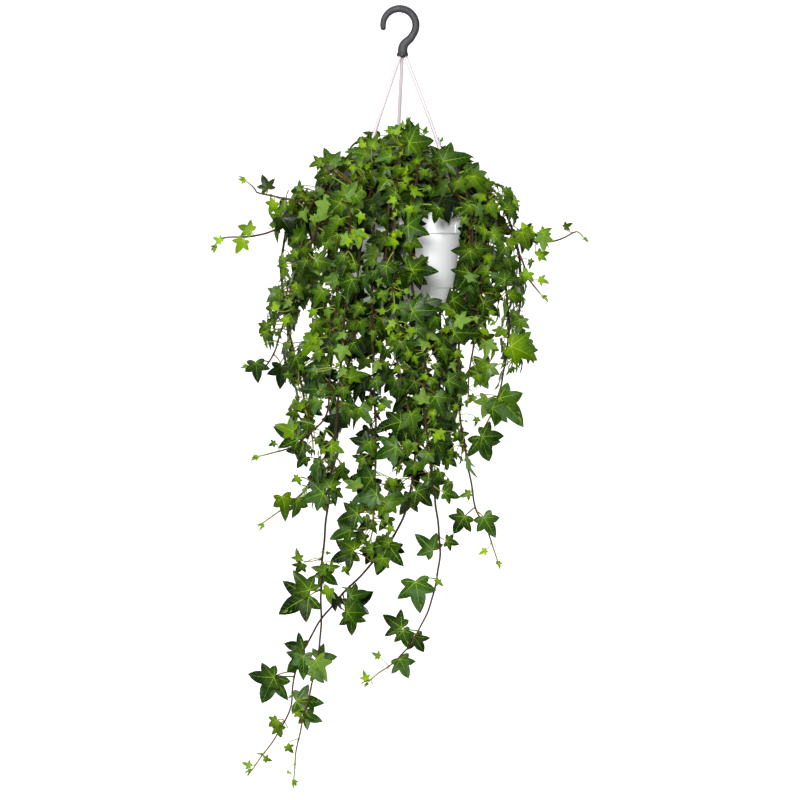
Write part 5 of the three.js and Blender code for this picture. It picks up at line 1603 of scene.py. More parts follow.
class FrontView:
    """The plant as it is seen from the front: which places its facing leaves cover, and its gaps.

    A view is 800 steps across and down, as the studio's camera sees it: for a point x, y, z from what the
    camera looks at, the steps from the middle are x / k and (y s + z c) / k, where a step's size k is
    0.00034 (3500 + y c - z s), with s and c the sine and cosine of its elevation.
    """

    STEPS = 800
    CELL = 4
    NOTHING = 1000.0
    BACK_OF_WINDOW = -20.0
    HALF = 400.0
    STEP_ANGLE = 0.00034
    DISTANCE = 3500.0
    MIDDLE = np.array([-3.0, 0.0, -456.5])
    SINE, COSINE = math.sin(math.radians(3.7)), math.cos(math.radians(3.7))

    def __init__(self) -> None:
        """Starts with no leaf, and marks the places that stay free."""
        self.nearest = np.full((self.STEPS // self.CELL,) * 2, self.NOTHING)
        across, down = np.meshgrid(np.arange(self.STEPS), np.arange(self.STEPS), indexing="ij")
        self.free = ~self._inside(across, down, MOUND)
        for gap_across, gap_down, radius in GAPS:
            self.free |= (across - gap_across) ** 2 + (down - gap_down) ** 2 < radius**2
        self.window = self._inside(across, down, POT_WINDOW)

    @staticmethod
    def _inside(across: Array, down: Array, corners: Sequence[tuple[int, int]]) -> Array:
        """Places inside a closed outline: those with an odd number of its edges to their right.

        Args:
            across: The places' steps across.
            down: Their steps down.
            corners: The outline.

        Returns:
            Truth values of the same shape.
        """
        inside = np.zeros(across.shape, bool)
        for start, end in zip(corners, (*corners[1:], corners[0])):
            if start[1] != end[1]:
                crossing = start[0] + (down - start[1]) * (end[0] - start[0]) / (end[1] - start[1])
                inside ^= ((start[1] > down) != (end[1] > down)) & (across < crossing)
        return inside

    @classmethod
    def places(cls, points: Array) -> Array:
        """Steps across and down at which points are seen."""
        x, y, z = np.moveaxis(points - cls.MIDDLE, -1, 0)
        step = cls.STEP_ANGLE * (cls.DISTANCE + y * cls.COSINE - z * cls.SINE)
        return np.stack([cls.HALF + x / step, cls.HALF - (y * cls.SINE + z * cls.COSINE) / step], axis=-1)

    @classmethod
    def point(cls, across: float, down: float, depth: float) -> Array:
        """The point that is seen at a place.

        Args:
            across: The place's steps across.
            down: Its steps down.
            depth: How far behind the axis the point lies.

        Returns:
            The point.
        """
        rise = cls.STEP_ANGLE * (cls.HALF - down)
        z = (rise * (cls.DISTANCE + depth * cls.COSINE) - depth * cls.SINE) / (cls.COSINE + rise * cls.SINE)
        step = cls.STEP_ANGLE * (cls.DISTANCE + depth * cls.COSINE - z * cls.SINE)
        return cls.MIDDLE + np.array([(across - cls.HALF) * step, depth, z])

    def _steps(self, points: Array) -> tuple[Array, Array]:
        """Steps of points as whole numbers, kept inside the view."""
        steps = np.clip(self.places(points), 0, self.STEPS - 1).astype(int)
        return steps[..., 0], steps[..., 1]

    def add(self, points: Array) -> None:
        """Marks the places that a facing leaf covers."""
        across, down = self._steps(points)
        np.minimum.at(self.nearest, (across // self.CELL, down // self.CELL), points[:, 1])

    def spoils(self, points: Array) -> float:
        """The share of a leaf's points that would hide a facing leaf or fill a gap."""
        across, down = self._steps(points)
        nearest = self.nearest[across // self.CELL, down // self.CELL]
        hides = (points[:, 1] < nearest) & (nearest < self.NOTHING)
        shuts = self.free[across, down] | (self.window[across, down] & (points[:, 1] < self.BACK_OF_WINDOW))
        return float(np.mean(hides | shuts))


class BladeForm(Enum):
    """A blade's outline: corners of its right half, and the bulge point of the curve to the next.

    Numbers are shares of the centre lobe's length: across and along from the petiole's end.
    """

    BROAD = (
        ((0.0, -0.03), (0.448, -0.13), (0.35, 0.08), (0.636, 0.4), (0.235, 0.41), (0.0, 1.0)),
        ((0.22, -0.24), (0.44, 0.0), (0.54, 0.2), (0.4, 0.46), (0.25, 0.68)),
    )
    YOUNG = (
        ((0.0, -0.02), (0.31, -0.1), (0.25, 0.07), (0.54, 0.34), (0.2, 0.38), (0.0, 1.0)),
        ((0.17, -0.18), (0.31, 0.0), (0.42, 0.16), (0.34, 0.4), (0.22, 0.66)),
    )
    BUD = (
        ((0.0, 0.0), (0.2, 0.02), (0.36, 0.28), (0.17, 0.36), (0.0, 1.0)),
        ((0.1, -0.06), (0.3, 0.1), (0.24, 0.34), (0.2, 0.66)),
    )


@dataclass(frozen=True)
class BladeMould:
    """A blade's flat pattern, from which any number of leaves is pressed at once."""

    form: BladeForm
    spans: int
    shares: tuple[float, ...]
    thickness: float = 0.5
    lobe_azimuths: tuple[float, float] = (1.01, 1.83)
    lobe_width: float = 0.26

    def outline(self) -> Array:
        """Closed outline: bent curves down the right half, then their mirror."""
        corners, bulges = (np.array(part) for part in self.form.value)
        share = (np.arange(self.spans) / self.spans)[None, :, None]
        curves = bent(corners[:-1, None], bulges[:, None], corners[1:, None], share)
        right = np.concatenate([curves.reshape(-1, 2), corners[-1:]])
        return np.concatenate([right, right[-2:0:-1] * np.array([-1.0, 1.0])])

    def flat(self) -> Array:
        """Pattern points: the petiole's end, then the outline drawn in by each share."""
        rings = np.array(self.shares)[:, None, None] * self.outline()[None]
        return np.concatenate([np.zeros((1, 2)), rings.reshape(-1, 2)])

    def faces(self) -> list[Array]:
        """Faces of both skins and of the rim between them; the lower skin's points come second."""
        columns, rings = len(self.outline()), len(self.shares)
        count = 1 + rings * columns
        fan = cap_faces(columns, 1, 0, outward=True)
        quads = grid_faces(rings, columns, closed=True)[:, ::-1] + 1
        edge = count - columns + np.arange(columns)
        after = np.roll(edge, -1)
        rim = np.stack([edge, edge + count, after + count, after], axis=-1)
        return [fan, fan[:, ::-1] + count, np.concatenate([quads, quads[:, ::-1] + count, rim])]

    def press(self, leaves: Sequence[Leaf], random: Random) -> tuple[Array, list[Array], Array, Array]:
        """Presses leaves.

        A point's height over the petiole's end is fold·|x| - droop·y² + wave + quilt - curl, where the wave
        runs round the petiole's end, the quilt rises between the main veins, and the curl bends lobe tips
        down by the square of how far they reach. Each lobe is made longer or shorter by chance.

        Args:
            leaves: The leaves.
            random: Seeded chance.

        Returns:
            Points, faces, and the blade and growth attributes.
        """
        flat, count = self.flat(), len(leaves)
        turn = np.arctan2(np.abs(flat[:, 0]), flat[:, 1])
        reach = np.hypot(flat[:, 0], flat[:, 1])
        side = np.sign(flat[:, 0])

        def chance(low: float, high: float) -> Array:
            """A column with a chance number for each leaf."""
            return random.uniform(low, high, (count, 1))

        scale = np.ones((count, len(flat)))
        for azimuth in self.lobe_azimuths:
            bell = np.exp(-(((turn - azimuth) / self.lobe_width) ** 2))
            right, left = chance(-0.16, 0.1), chance(-0.16, 0.1)
            scale = scale + np.where(side > 0, right, left) * bell
        teeth = turn * 11.0 * np.where(side > 0, 1, 1.3)
        scale = scale + chance(0.0, 0.02) * np.sin(teeth + chance(0.0, 6.0))
        x, y = flat[:, 0] * scale, flat[:, 1] * scale
        gap = np.min(np.abs(turn[:, None] - np.array([0.0, *self.lobe_azimuths])), axis=1)
        quilt = 0.035 * smooth(gap / 0.4) * reach * (1.2 - reach)
        wave = chance(0.0, 0.045) * np.sin(3.0 * turn * side + chance(0.0, 6.3)) * reach
        curl = chance(0.0, 0.5) * np.maximum(reach - 0.5, 0.0) ** 2
        rise = chance(0.05, 0.38) * np.abs(x) - chance(0.04, 0.32) * y**2 + wave + quilt - curl
        frames = np.stack([[leaf.across, leaf.along, leaf.face] for leaf in leaves])
        local = np.stack([x, y, rise], axis=-1) * np.array([leaf.length for leaf in leaves])[:, None, None]
        skin = np.stack([leaf.base for leaf in leaves])[:, None] + local @ frames
        half = frames[:, None, 2] * self.thickness / 2.0
        points = np.concatenate([skin + half, skin - half], axis=1)
        below = np.repeat([0.0, 1.0], len(flat))[:, None]
        blade = np.tile(np.concatenate([np.tile(flat, (2, 1)), below], axis=1), (count, 1))
        youths, depths = np.array([(leaf.youth, leaf.depth) for leaf in leaves]).T
        growth = np.stack([youths, random.uniform(0.0, 1.0, count), depths], axis=-1)
        faces = repeated(self.faces(), count, 2 * len(flat))
        return points.reshape(-1, 3), faces, blade, np.repeat(growth, 2 * len(flat), axis=0)


MOULDS = (
    (24.0, BladeMould(BladeForm.BROAD, 4, (0.35, 0.7, 1.0))),
    (15.0, BladeMould(BladeForm.BROAD, 3, (0.5, 1.0))),
    (9.0, BladeMould(BladeForm.YOUNG, 2, (0.5, 1.0))),
    (0.0, BladeMould(BladeForm.BUD, 2, (1.0,), 0.4)),
)


def mould_for(leaf: Leaf) -> BladeMould:
    """The mould for a leaf's length."""
    return next(mould for length, mould in MOULDS if leaf.length >= length)


class Thicket:
    """What stems and leaves take up, in space and in the view from the front."""

    def __init__(self, vines: Sequence[Vine]) -> None:
        """Starts with the stems, and with the facing leaves that they carry.

        Args:
            vines: The stems.
        """
        self.pattern = BladeMould(BladeForm.BROAD, 4, (0.2, 0.4, 0.6, 0.8, 1.0)).flat()
        self.blades, self.stems, self.front = Cells(), Cells(), FrontView()
        for vine in vines:
            for line in vine.lines:
                self.stems.take(line)
                self.stems.take((line[1:] + line[:-1]) / 2.0)
            for leaf in vine.leaves:
                if leaf.seen:
                    self.add(leaf)

    def add(self, leaf: Leaf) -> None:
        """Takes a leaf's cells, and its places in the view if it is a facing one."""
        spots = leaf.spots(self.pattern)
        self.blades.take(spots)
        if leaf.seen:
            self.front.add(spots)


@dataclass
class Ivy:
    """The plant: its vines by traced and ruled routes, and its leaves by rule and chance."""

    holder: Holder
    soil_z: float = -246.0
    root_depth: float = 14.0
    root_rings: tuple[float, ...] = (24.0, 37.0, 50.0)
    fan_middle: float = 97.0
    fan_half: float = 6.0
    fan_step: float = 13.0
    fan_count: int = 6
    pitch: float = 5.0
    first_leaf: int = 7
    leaf_spacing: int = 8
    crown_spacing: int = 4
    crown_shoot_spacing: int = 2
    crown_foot_z: float = -212.0
    tries: int = 10
    filler_tries: int = 30
    same_base: float = 9.0
    same_tip: float = 13.0
    foremost_y: float = -166.0
    enough_room: float = 0.04
    dome_middle_z: float = -235.0
    dome_foot_z: float = -232.0
    dome_blend: float = 40.0
    bud_share: float = 0.4
    listed_rise: float = 8.0
    foreshortening: float = 1.06
    crown_leaf: float = 30.0
    grown_leaf: float = 33.0
    tip_leaf: float = 13.0
    leaf_clearance: float = 6.5
    own_stem_clearance: float = 3.6
    crossing_limit: float = 0.35
    spoil_limit: float = 0.22
    touch_limit: float = 0.06
    pot_clearance: float = 6.0
    arm_clearance: float = 8.5
    stem_radius: float = 1.55
    branch_radius: float = 1.2
    tip_radius: float = 0.85
    stem_sides: int = 7
    stem_wave: float = 0.35
    node_swell: float = 0.22
    node_reach: float = 0.35
    petiole_steps: int = 7
    petiole_sides: int = 5
    part_height: float = 30.0
    part_angle: float = 15.0
    part_least: int = 5
    depth_span: float = 26.0
    vines: list[Vine] = field(default_factory=list)

    STANDOFFS = (8.0, 14.0, 3.0, 20.0, -3.0, 26.0, -10.0)
    TIP_CLUSTER = (9.0, 7.0, 5.0)
    FILLER_LENGTHS = ((26.0, 36.0), (20.0, 28.0), (15.0, 21.0), (10.0, 15.0))
    YOUNG_SPOTS = (
        (-14.0, -192.0, 42.0, 0.85), (-107.0, -238.0, 42.0, 0.6), (136.0, -262.0, 46.0, 0.6),
        (126.0, -395.0, 48.0, 1.3),
    )
    SAMPLES = np.array([
        [0, 0], [0, 0.35], [0, 0.68], [0, 1], [0.3, 0.2], [-0.3, 0.2], [0.6, 0.38], [-0.6, 0.38],
        [0.42, -0.08], [-0.42, -0.08], [0.18, 0.5], [-0.18, 0.5],
    ])

    def __post_init__(self) -> None:
        """Grows everything, in the order that chance depends on."""
        self._plant()
        self._grow_first_leaves()
        self._fill_in(np.random.default_rng(41))

    def _root_route(self, x: float, y: float) -> Array:
        """The upright start of a stem: from down in the soil to just above it."""
        return np.array([[x, y, self.soil_z + rise] for rise in (-self.root_depth, -4.0, 7.0)])

    @staticmethod
    def _back_route(azimuth: float, chance: Chance) -> Array:
        """The route of a stem at the back: up from the crown, over the rim and down.

        Args:
            azimuth: Its azimuth in radians.
            chance: Seeded chance.

        Returns:
            The route's points.
        """
        drift = math.radians(lerp(-4.0, 4.0, chance()))
        apex = (lerp(58.0, 72.0, chance()), lerp(-200.0, -166.0, chance()))
        hang = lerp(104.0, 124.0, chance())
        end = lerp(-330.0, -560.0, chance() * abs(math.sin(azimuth)))
        curl = lerp(4.0, 22.0, chance())
        return np.stack([
            polar(apex[0], azimuth, apex[1]),
            polar(hang - 12.0, azimuth, -216.0),
            polar(hang, azimuth + drift * 0.3, -262.0),
            polar(hang - 2.0, azimuth + drift * 0.7, lerp(-262.0, end, 0.45)),
            polar(hang - 10.0, azimuth + drift, lerp(-262.0, end, 0.8)),
            polar(hang - 10.0 + curl, azimuth + drift * 1.4, end),
        ])

    def _plant(self) -> None:
        """Sets all stems in the soil, in their order round the pot, and draws their lines."""
        vines = []
        for name, traced in TRACED.items():
            branch = np.array(traced.branch, float) if traced.branch else None
            vines.append(Vine(name, np.array(traced.route, float), branch, traced.leaves, traced.bare_below))
        steps = self.fan_half + self.fan_step * np.arange(self.fan_count)
        for index, azimuth in enumerate([*(self.fan_middle - steps), *(self.fan_middle + steps)]):
            route = self._back_route(math.radians(azimuth), Chance(700 + index))
            vines.append(Vine(f"vine_back_{index + 1:02d}", route))
        vines.sort(key=lambda vine: math.atan2(vine.route[0, 1], vine.route[0, 0]))
        for index, vine in enumerate(vines):
            first = vine.route[0]
            ring = self.root_rings[index % len(self.root_rings)]
            root = polar(ring, math.atan2(first[1], first[0]), self.soil_z)
            rise = lerp(root, first, 0.35)
            rise[2] = lerp(self.soil_z, first[2], 0.62)
            vine.route = np.concatenate([self._root_route(*root[:2]), rise[None], vine.route])
        for name, points in CROWN_SHOOTS.items():
            route = np.array(points, float)
            root_route = self._root_route(*(route[0, :2] * 0.5))
            vines.append(Vine(name, np.concatenate([root_route, route]), crown=True))
        for index, vine in enumerate(vines):
            vine.seed = 100 + 17 * index
            routes = [route for route in (vine.route, vine.branch) if route is not None]
            vine.lines = [smooth_line(route, self.pitch) for route in routes]
        self.vines = vines

    def _samples(self, leaf: Leaf) -> Array:
        """The points that stand for a leaf when space is shared out."""
        return np.concatenate([leaf.spots(self.SAMPLES), lerp(leaf.stem_point, leaf.base, 0.6)[None]])

    def _listed_leaf(self, vine: Vine, entry: Sequence[float], chance: Chance) -> Leaf:
        """The leaf that is listed for a stem, with its petiole springing a little above it.

        Args:
            vine: The stem.
            entry: The leaf as the list has it.
            chance: Seeded chance.

        Returns:
            The leaf.
        """
        base_x, base_z, tip_x, tip_z, behind = entry
        _, line, step = min(
            (math.hypot(point[0] - base_x, point[2] - (base_z + self.listed_rise)), line, step)
            for line, points in enumerate(vine.lines)
            for step, point in enumerate(points)
            if vine.is_free(line, step)
        )
        base = np.array([base_x, vine.lines[line][step, 1] + behind, base_z])
        reach = math.hypot(tip_x - base_x, tip_z - base_z)
        tip_way = np.array([tip_x - base_x, reach * lerp(-0.1, 0.25, chance()), tip_z - base_z])
        face_way = np.array([lerp(-0.3, 0.3, chance()), -1.0, lerp(0.0, 0.5, chance())])
        leaf = vine.leaf(line, step, base, tip_way, face_way, reach * self.foreshortening)
        leaf.seen = True
        return leaf

    @staticmethod
    def _ruled_leaf(vine: Vine, line: int, step: int, side: int, length: float, chance: Chance) -> Leaf:
        """A leaf placed by rule at one step of a line, turned by seeded chance.

        Args:
            vine: The stem.
            line: Which of its lines.
            step: Which step of the line.
            side: The side it grows to, 1 or -1.
            length: Its length.
            chance: Seeded chance.

        Returns:
            The leaf.
        """
        point, along = vine.lines[line][step], vine.heading(line, step)
        hanging = min(max(-along[2] * 1.3, 0.0), 1.0)
        outward = unit(point * np.array([1.0, 1.0, 0.0]))
        sideways = unit(np.cross(along, outward)) * side
        lift, spread, swing, roll, pitch, reach = (chance() for _ in range(6))
        climb = UP * (0.25 + 1.3 * (1.0 - hanging) * lift)
        petiole = outward * (0.35 + 0.5 * lift) + sideways * (0.35 + 0.6 * spread) + climb
        base = point + unit(petiole) * length * (0.35 + 0.5 * reach)
        fall = UP * lerp(-0.15, -1.0, hanging)
        tip_way = outward * lerp(0.9, 0.3, hanging) + fall + sideways * (0.2 + 1.1 * swing)
        open_way = outward * lerp(0.35, 0.95, hanging) + UP * lerp(1.0, 0.15 + 0.5 * pitch, hanging)
        return vine.leaf(line, step, base, tip_way, open_way + sideways * lerp(-0.35, 0.55, roll), length)

    def _leaf_with_room(
        self, number: int, line: int, step: int, side: int, chance: Chance, taken: TakenSpace
    ) -> Leaf | None:
        """Tries a few turns and sizes of a leaf at one step.

        Args:
            number: The vine's number.
            line: Which of its lines.
            step: Which step of the line.
            side: The side it grows to, 1 or -1.
            chance: Seeded chance.
            taken: The space that is taken.

        Returns:
            The first that has room, or None.
        """
        vine = self.vines[number]
        share = step / len(vine.lines[line])
        for attempt in range(self.tries):
            shrink = 0.75 if attempt > self.tries / 2 else 1.0
            size = lerp(self.crown_leaf if vine.crown else self.grown_leaf, self.tip_leaf, share**2.2)
            length = shrink * size * lerp(0.82, 1.2, chance())
            leaf = self._ruled_leaf(vine, line, step, side, length, chance)
            samples = self._samples(leaf)
            clear = self.holder.clears(samples, self.pot_clearance, self.arm_clearance)
            if clear and taken.is_free(samples, number, self.leaf_clearance, self.own_stem_clearance):
                return leaf
        return None

    def _grow_first_leaves(self) -> None:
        """Grows the leaves that the solids have: those listed, and then those placed by rule."""
        taken = TakenSpace()
        for number, vine in enumerate(self.vines):
            for line in vine.lines:
                taken.add(line, number)
        for vine in self.vines:
            chance = Chance(vine.seed)
            for entry in vine.listed:
                vine.leaves.append(self._listed_leaf(vine, entry, chance))
                taken.add(self._samples(vine.leaves[-1]))
        for number, vine in enumerate(self.vines):
            chance = Chance(vine.seed + 5)
            for line, points in enumerate(vine.lines):
                side = 1 if vine.seed % 2 else -1
                step = self.first_leaf
                while step < len(points) - 1 and points[step, 2] >= vine.bare_below:
                    side = -side
                    if vine.is_free(line, step):
                        leaf = self._leaf_with_room(number, line, step, side, chance, taken)
                        if leaf is not None:
                            vine.leaves.append(leaf)
                            taken.add(self._samples(leaf))
                    step += self._spacing(vine, points[step])

    def _spacing(self, vine: Vine, point: Array) -> int:
        """Steps from one leaf to the next: few in the crown, more on the trails."""
        if vine.crown:
            return self.crown_shoot_spacing
        return self.crown_spacing if point[2] > self.crown_foot_z else self.leaf_spacing

    def _fill_in(self, random: Random) -> None:
        """Grows the facing leaves, smaller ones wherever cells are free, and the buds.

        A first leaf that crosses others or spoils the view is left out.

        Args:
            random: Seeded chance.
        """
        thicket = Thicket(self.vines)
        self._grow_seen(random, thicket)
        LOG.info("%d facing leaves", sum(leaf.seen for vine in self.vines for leaf in vine.leaves))
        for vine in self.vines:
            kept = []
            for leaf in vine.leaves:
                spots = leaf.spots(thicket.pattern)
                fits = thicket.blades.crossing(spots) < self.crossing_limit
                if leaf.seen or (fits and thicket.front.spoils(spots) < self.spoil_limit):
                    thicket.blades.take(spots)
                    kept.append(leaf)
            vine.leaves = kept
        LOG.info("%d first leaves", sum(len(vine.leaves) for vine in self.vines))
        for lengths in self.FILLER_LENGTHS:
            for vine in self.vines:
                for line, points in enumerate(vine.lines):
                    for step in range(4 + int(random.integers(0, 2)), len(points) - 2):
                        if points[step, 2] < vine.bare_below:
                            break
                        random.uniform()  # One number is drawn ahead of each leaf, and left unused.
                        leaf = self._filler(vine, line, step, lengths, random, thicket)
                        if leaf is not None:
                            vine.leaves.append(leaf)
                            thicket.add(leaf)
        LOG.info("%d leaves after filling in", sum(len(vine.leaves) for vine in self.vines))
        for vine in self.vines:
            for leaf in vine.leaves:
                if not leaf.seen or leaf.youth == 0.0:
                    leaf.youth = self._youth(vine, leaf, random)
            self._add_buds(vine, random)
        self._set_depths()

    def _set_depths(self) -> None:
        """Sets how deep each leaf grows: 0 for the outermost of its part, 1 at a depth span behind those.

        A leaf stands out by its distance from the axis, or over the soil from the soil's middle.
        """
        # The depths set how far the blade's material darkens each leaf as painted shade.
        leaves = [leaf for vine in self.vines for leaf in vine.leaves]
        middles = np.stack([leaf.base + leaf.along * leaf.length * 0.4 for leaf in leaves])
        arms = middles * np.array([1.0, 1.0, 0.0])
        arms[:, 2] = np.maximum(middles[:, 2] - self.soil_z, 0.0)
        out = np.linalg.norm(arms, axis=1)
        level = np.where(arms[:, 2] > 0.0, 120.0 * np.arcsin(arms[:, 2] / out), middles[:, 2] - self.soil_z)
        turn = np.degrees(np.arctan2(middles[:, 1], middles[:, 0]))
        parts = np.floor(level / self.part_height) * 100.0 + np.floor(turn / self.part_angle)
        for part in np.unique(parts):
            inside = np.flatnonzero(parts == part)
            outer = np.percentile(out[inside], 80.0)
            for index in inside if len(inside) > self.part_least else ():
                leaves[index].depth = float(np.clip((outer - out[index]) / self.depth_span, 0.0, 1.0))

    def _grow_seen(self, random: Random, thicket: Thicket) -> None:
        """Grows the leaves that can be told apart from the front, each from a stem near it.

        A stem's point is the nearer, the less it stands off in the view, and the more it stands to the
        front. The leaf takes the depth, of a few, at which it crosses the least.

        Args:
            random: Seeded chance.
            thicket: What is taken.
        """
        spots = [
            (vine, line, step)
            for vine in self.vines
            for line, points in enumerate(vine.lines)
            for step in range(5, len(points) - 1)
        ]
        points = np.stack([vine.lines[line][step] for vine, line, step in spots])
        front = thicket.front
        places = front.places(points)
        listed = [leaf for vine in self.vines for leaf in vine.leaves if leaf.seen]
        ends = [
            (front.places(leaf.base), front.places(leaf.base + leaf.along * leaf.length)) for leaf in listed
        ]
        for across, down, tip_across, tip_down, tenths in SEEN:
            start, end = np.array([across, down]), np.array([tip_across, tip_down])
            if any(
                np.hypot(*(base - start)) < self.same_base and np.hypot(*(tip - end)) < self.same_tip
                for base, tip in ends
            ):
                continue
            off = np.hypot(*(places - start - np.array([0.0, -4.0])).T)
            vine, line, step = spots[int(np.argmin(off * 1.2 + 0.42 * points[:, 1]))]
            tilt, roll, nod = random.uniform((-0.35, -0.75, -0.3), (0.4, 0.75, 0.75))
            best, least = None, 2.0
            for ahead in self.STANDOFFS:
                base = front.point(across, down, max(vine.lines[line][step, 1] - ahead, self.foremost_y))
                way = front.point(tip_across, tip_down, base[1]) - base
                way[1] += tilt * float(np.linalg.norm(way))
                facing = np.array([roll, -1.0, nod])
                leaf = vine.leaf(line, step, base, way, facing, float(np.linalg.norm(way)))
                blade = leaf.spots(thicket.pattern)
                taken = thicket.blades.crossing(blade) + thicket.stems.crossing(blade)
                taken += 0.0 if self.holder.clears(blade, 2.0, 3.0) else 0.3
                if taken < least:
                    best, least = leaf, taken
                if least < self.enough_room:
                    break
            best.seen, best.youth = True, max(tenths / 10.0, 0.0)
            thicket.add(best)
            if tenths < 0:
                best.face = -best.face
            vine.leaves.append(best)

    def _filler(
        self, vine: Vine, line: int, step: int, lengths: tuple[float, float], random: Random, thicket: Thicket
    ) -> Leaf | None:
        """Tries many turns of a leaf at once, hung as on the trails or stood as on the crown's dome.

        Args:
            vine: The vine.
            line: Which of its lines.
            step: Which step of the line.
            lengths: The shortest and the longest blade.
            random: Seeded chance.
            thicket: What is taken.

        Returns:
            The first that has room, or None.
        """
        point = vine.lines[line][step]
        share = step / len(vine.lines[line])
        draw = random.uniform(0.0, 1.0, (self.filler_tries, 9))
        size = lerp(*lengths, draw[:, 0]) * (1.0 - 0.45 * share**2.5)
        outward = unit(point * np.array([1.0, 1.0, 0.0]))
        around = np.array([-outward[1], outward[0], 0.0])
        dome = unit(point - UP * self.dome_middle_z)
        crown = float(smooth((point[2] - self.dome_foot_z) / self.dome_blend))
        sway = 2.0 * draw - 1.0
        hang_stalk = outward * (1.6 * draw[:, 1:2] - 0.45) + around * sway[:, 2:3] + UP * (0.9 * sway[:, 3:4])
        dome_stalk = dome * (1.6 * draw[:, 1:2] - 0.1) + around * sway[:, 2:3] * 0.9
        dome_stalk = dome_stalk + outward * sway[:, 3:4] * 0.9
        reach = lerp(6.0 + 22.0 * draw[:, 4:5], 8.0 + 26.0 * draw[:, 4:5], crown)
        base = point + unit(lerp(hang_stalk, dome_stalk, crown)) * reach
        hang_tip = -UP + around * sway[:, 5:6] * 0.9 + outward * (0.5 * draw[:, 6:7])
        dome_tip = outward * (0.7 * draw[:, 6:7] + 0.1) + around * sway[:, 5:6] * 1.2
        dome_tip = dome_tip - UP * (0.5 * draw[:, 7:8])
        hang_face = outward + UP * (0.9 * draw[:, 7:8] - 0.2) + around * (0.9 * sway[:, 8:9])
        dome_face = dome + around * (0.85 * sway[:, 8:9]) + outward * (0.6 * sway[:, 7:8]) + UP * 0.1
        along, face = unit(lerp(hang_tip, dome_tip, crown)), lerp(hang_face, dome_face, crown)
        face = unit(face - along * np.sum(face * along, axis=1, keepdims=True))
        frames = np.stack([np.cross(along, face), along, face], axis=1)
        pattern = thicket.pattern
        rise = 0.16 * np.abs(pattern[:, 0]) - 0.18 * pattern[:, 1] ** 2
        local = np.column_stack([pattern, rise])
        spots = base[:, None] + size[:, None, None] * (local @ frames)
        stalks = lerp(point, base[:, None], np.array([0.45, 0.6, 0.75, 0.9])[:, None])
        blades, stems = thicket.blades, thicket.stems
        for index in np.flatnonzero(blades.are_free(spots) & stems.are_free(spots) & blades.are_free(stalks)):
            tested = np.concatenate([spots[index], stalks[index]])
            clear = self.holder.clears(tested, 3.0, 4.0)
            if clear and thicket.front.spoils(spots[index]) <= self.touch_limit:
                facing = -face[index] if draw[index, 8] > 0.95 and crown < 0.5 else face[index]
                return Leaf(line, step, point, base[index], along[index], facing, float(size[index]))
        return None

    def _youth(self, vine: Vine, leaf: Leaf, random: Random) -> float:
        """How young a leaf looks: most at the tips, in the crown's middle and on both shoulders.

        Args:
            vine: The vine.
            leaf: The leaf.
            random: Seeded chance.

        Returns:
            A share from 0 to 1.
        """
        share = leaf.step / len(vine.lines[leaf.line])
        tip = smooth((share - 0.7) / 0.3) * 0.7
        near = sum(
            gain * math.exp(-((leaf.base[0] - x) ** 2 + (leaf.base[2] - z) ** 2) / reach**2)
            for x, z, reach, gain in self.YOUNG_SPOTS
        )
        small = smooth((22.0 - leaf.length) / 12.0) * 0.55
        far = 0.45 if vine.name.startswith("shoot_far") else 0.0
        youth = tip * small * 1.6 + near * (0.35 + small) + small * 0.35 + far
        return float(np.clip(youth * random.uniform(0.3, 1.35), 0.0, 1.0))

    def _add_buds(self, vine: Vine, random: Random) -> None:
        """Adds a cluster of three folded leaves at each line's tip, and a bud at some nodes.

        Args:
            vine: The vine.
            random: Seeded chance.
        """
        nodes = [(leaf.line, leaf.step) for leaf in vine.leaves]
        for line, points in enumerate(vine.lines):
            heading = unit(points[-1] - points[-3])
            for turn, length in enumerate(self.TIP_CLUSTER):
                sway = random.uniform(-0.8, 0.8, 3)
                base = points[-1] + heading * (0.5 + turn * 1.2) + sway
                way = heading + sway * (0.9 - 0.3 * turn)
                leaf = vine.leaf(line, len(points) - 1, base, way, sway + UP * 0.4, length)
                leaf.youth = random.uniform(0.75, 1.0)
                vine.leaves.append(leaf)
        for line, step in nodes:
            if random.uniform() > self.bud_share:
                continue
            heading = vine.heading(line, step)
            sway = random.uniform(-1.0, 1.0, 3)
            way = unit(sway - heading * (sway @ heading)) + heading * 0.8
            length = float(random.uniform(4.5, 8.0))
            base = vine.lines[line][step] + unit(way) * 2.6
            leaf = vine.leaf(line, step, base, way, heading + sway * 0.5, length)
            leaf.youth = float(random.uniform(0.45, 1.0))
            vine.leaves.append(leaf)

    def build(self) -> None:
        """Makes one piece for each vine, in place of its solid."""
        materials = [IvyBlade().material(), IvyBark().material()]
        random = np.random.default_rng(1873)
        for vine in self.vines:
            skin = Skin()
            for _, mould in MOULDS:
                leaves = [leaf for leaf in vine.leaves if mould_for(leaf) is mould]
                if leaves:
                    points, faces, blade, growth = mould.press(leaves, random)
                    skin.add(points, faces, 0, blade=blade, growth=growth)
            stalked = [leaf for leaf in vine.leaves if np.linalg.norm(leaf.base - leaf.stem_point) > 2.0]
            if stalked:
                self._add_petioles(skin, stalked, random)
            for line in range(len(vine.lines)):
                self._add_stem(skin, vine, line, random)
            settle(skin.piece(f"{vine.name}_leafy", materials, 50.0), "ivy", vine.name)

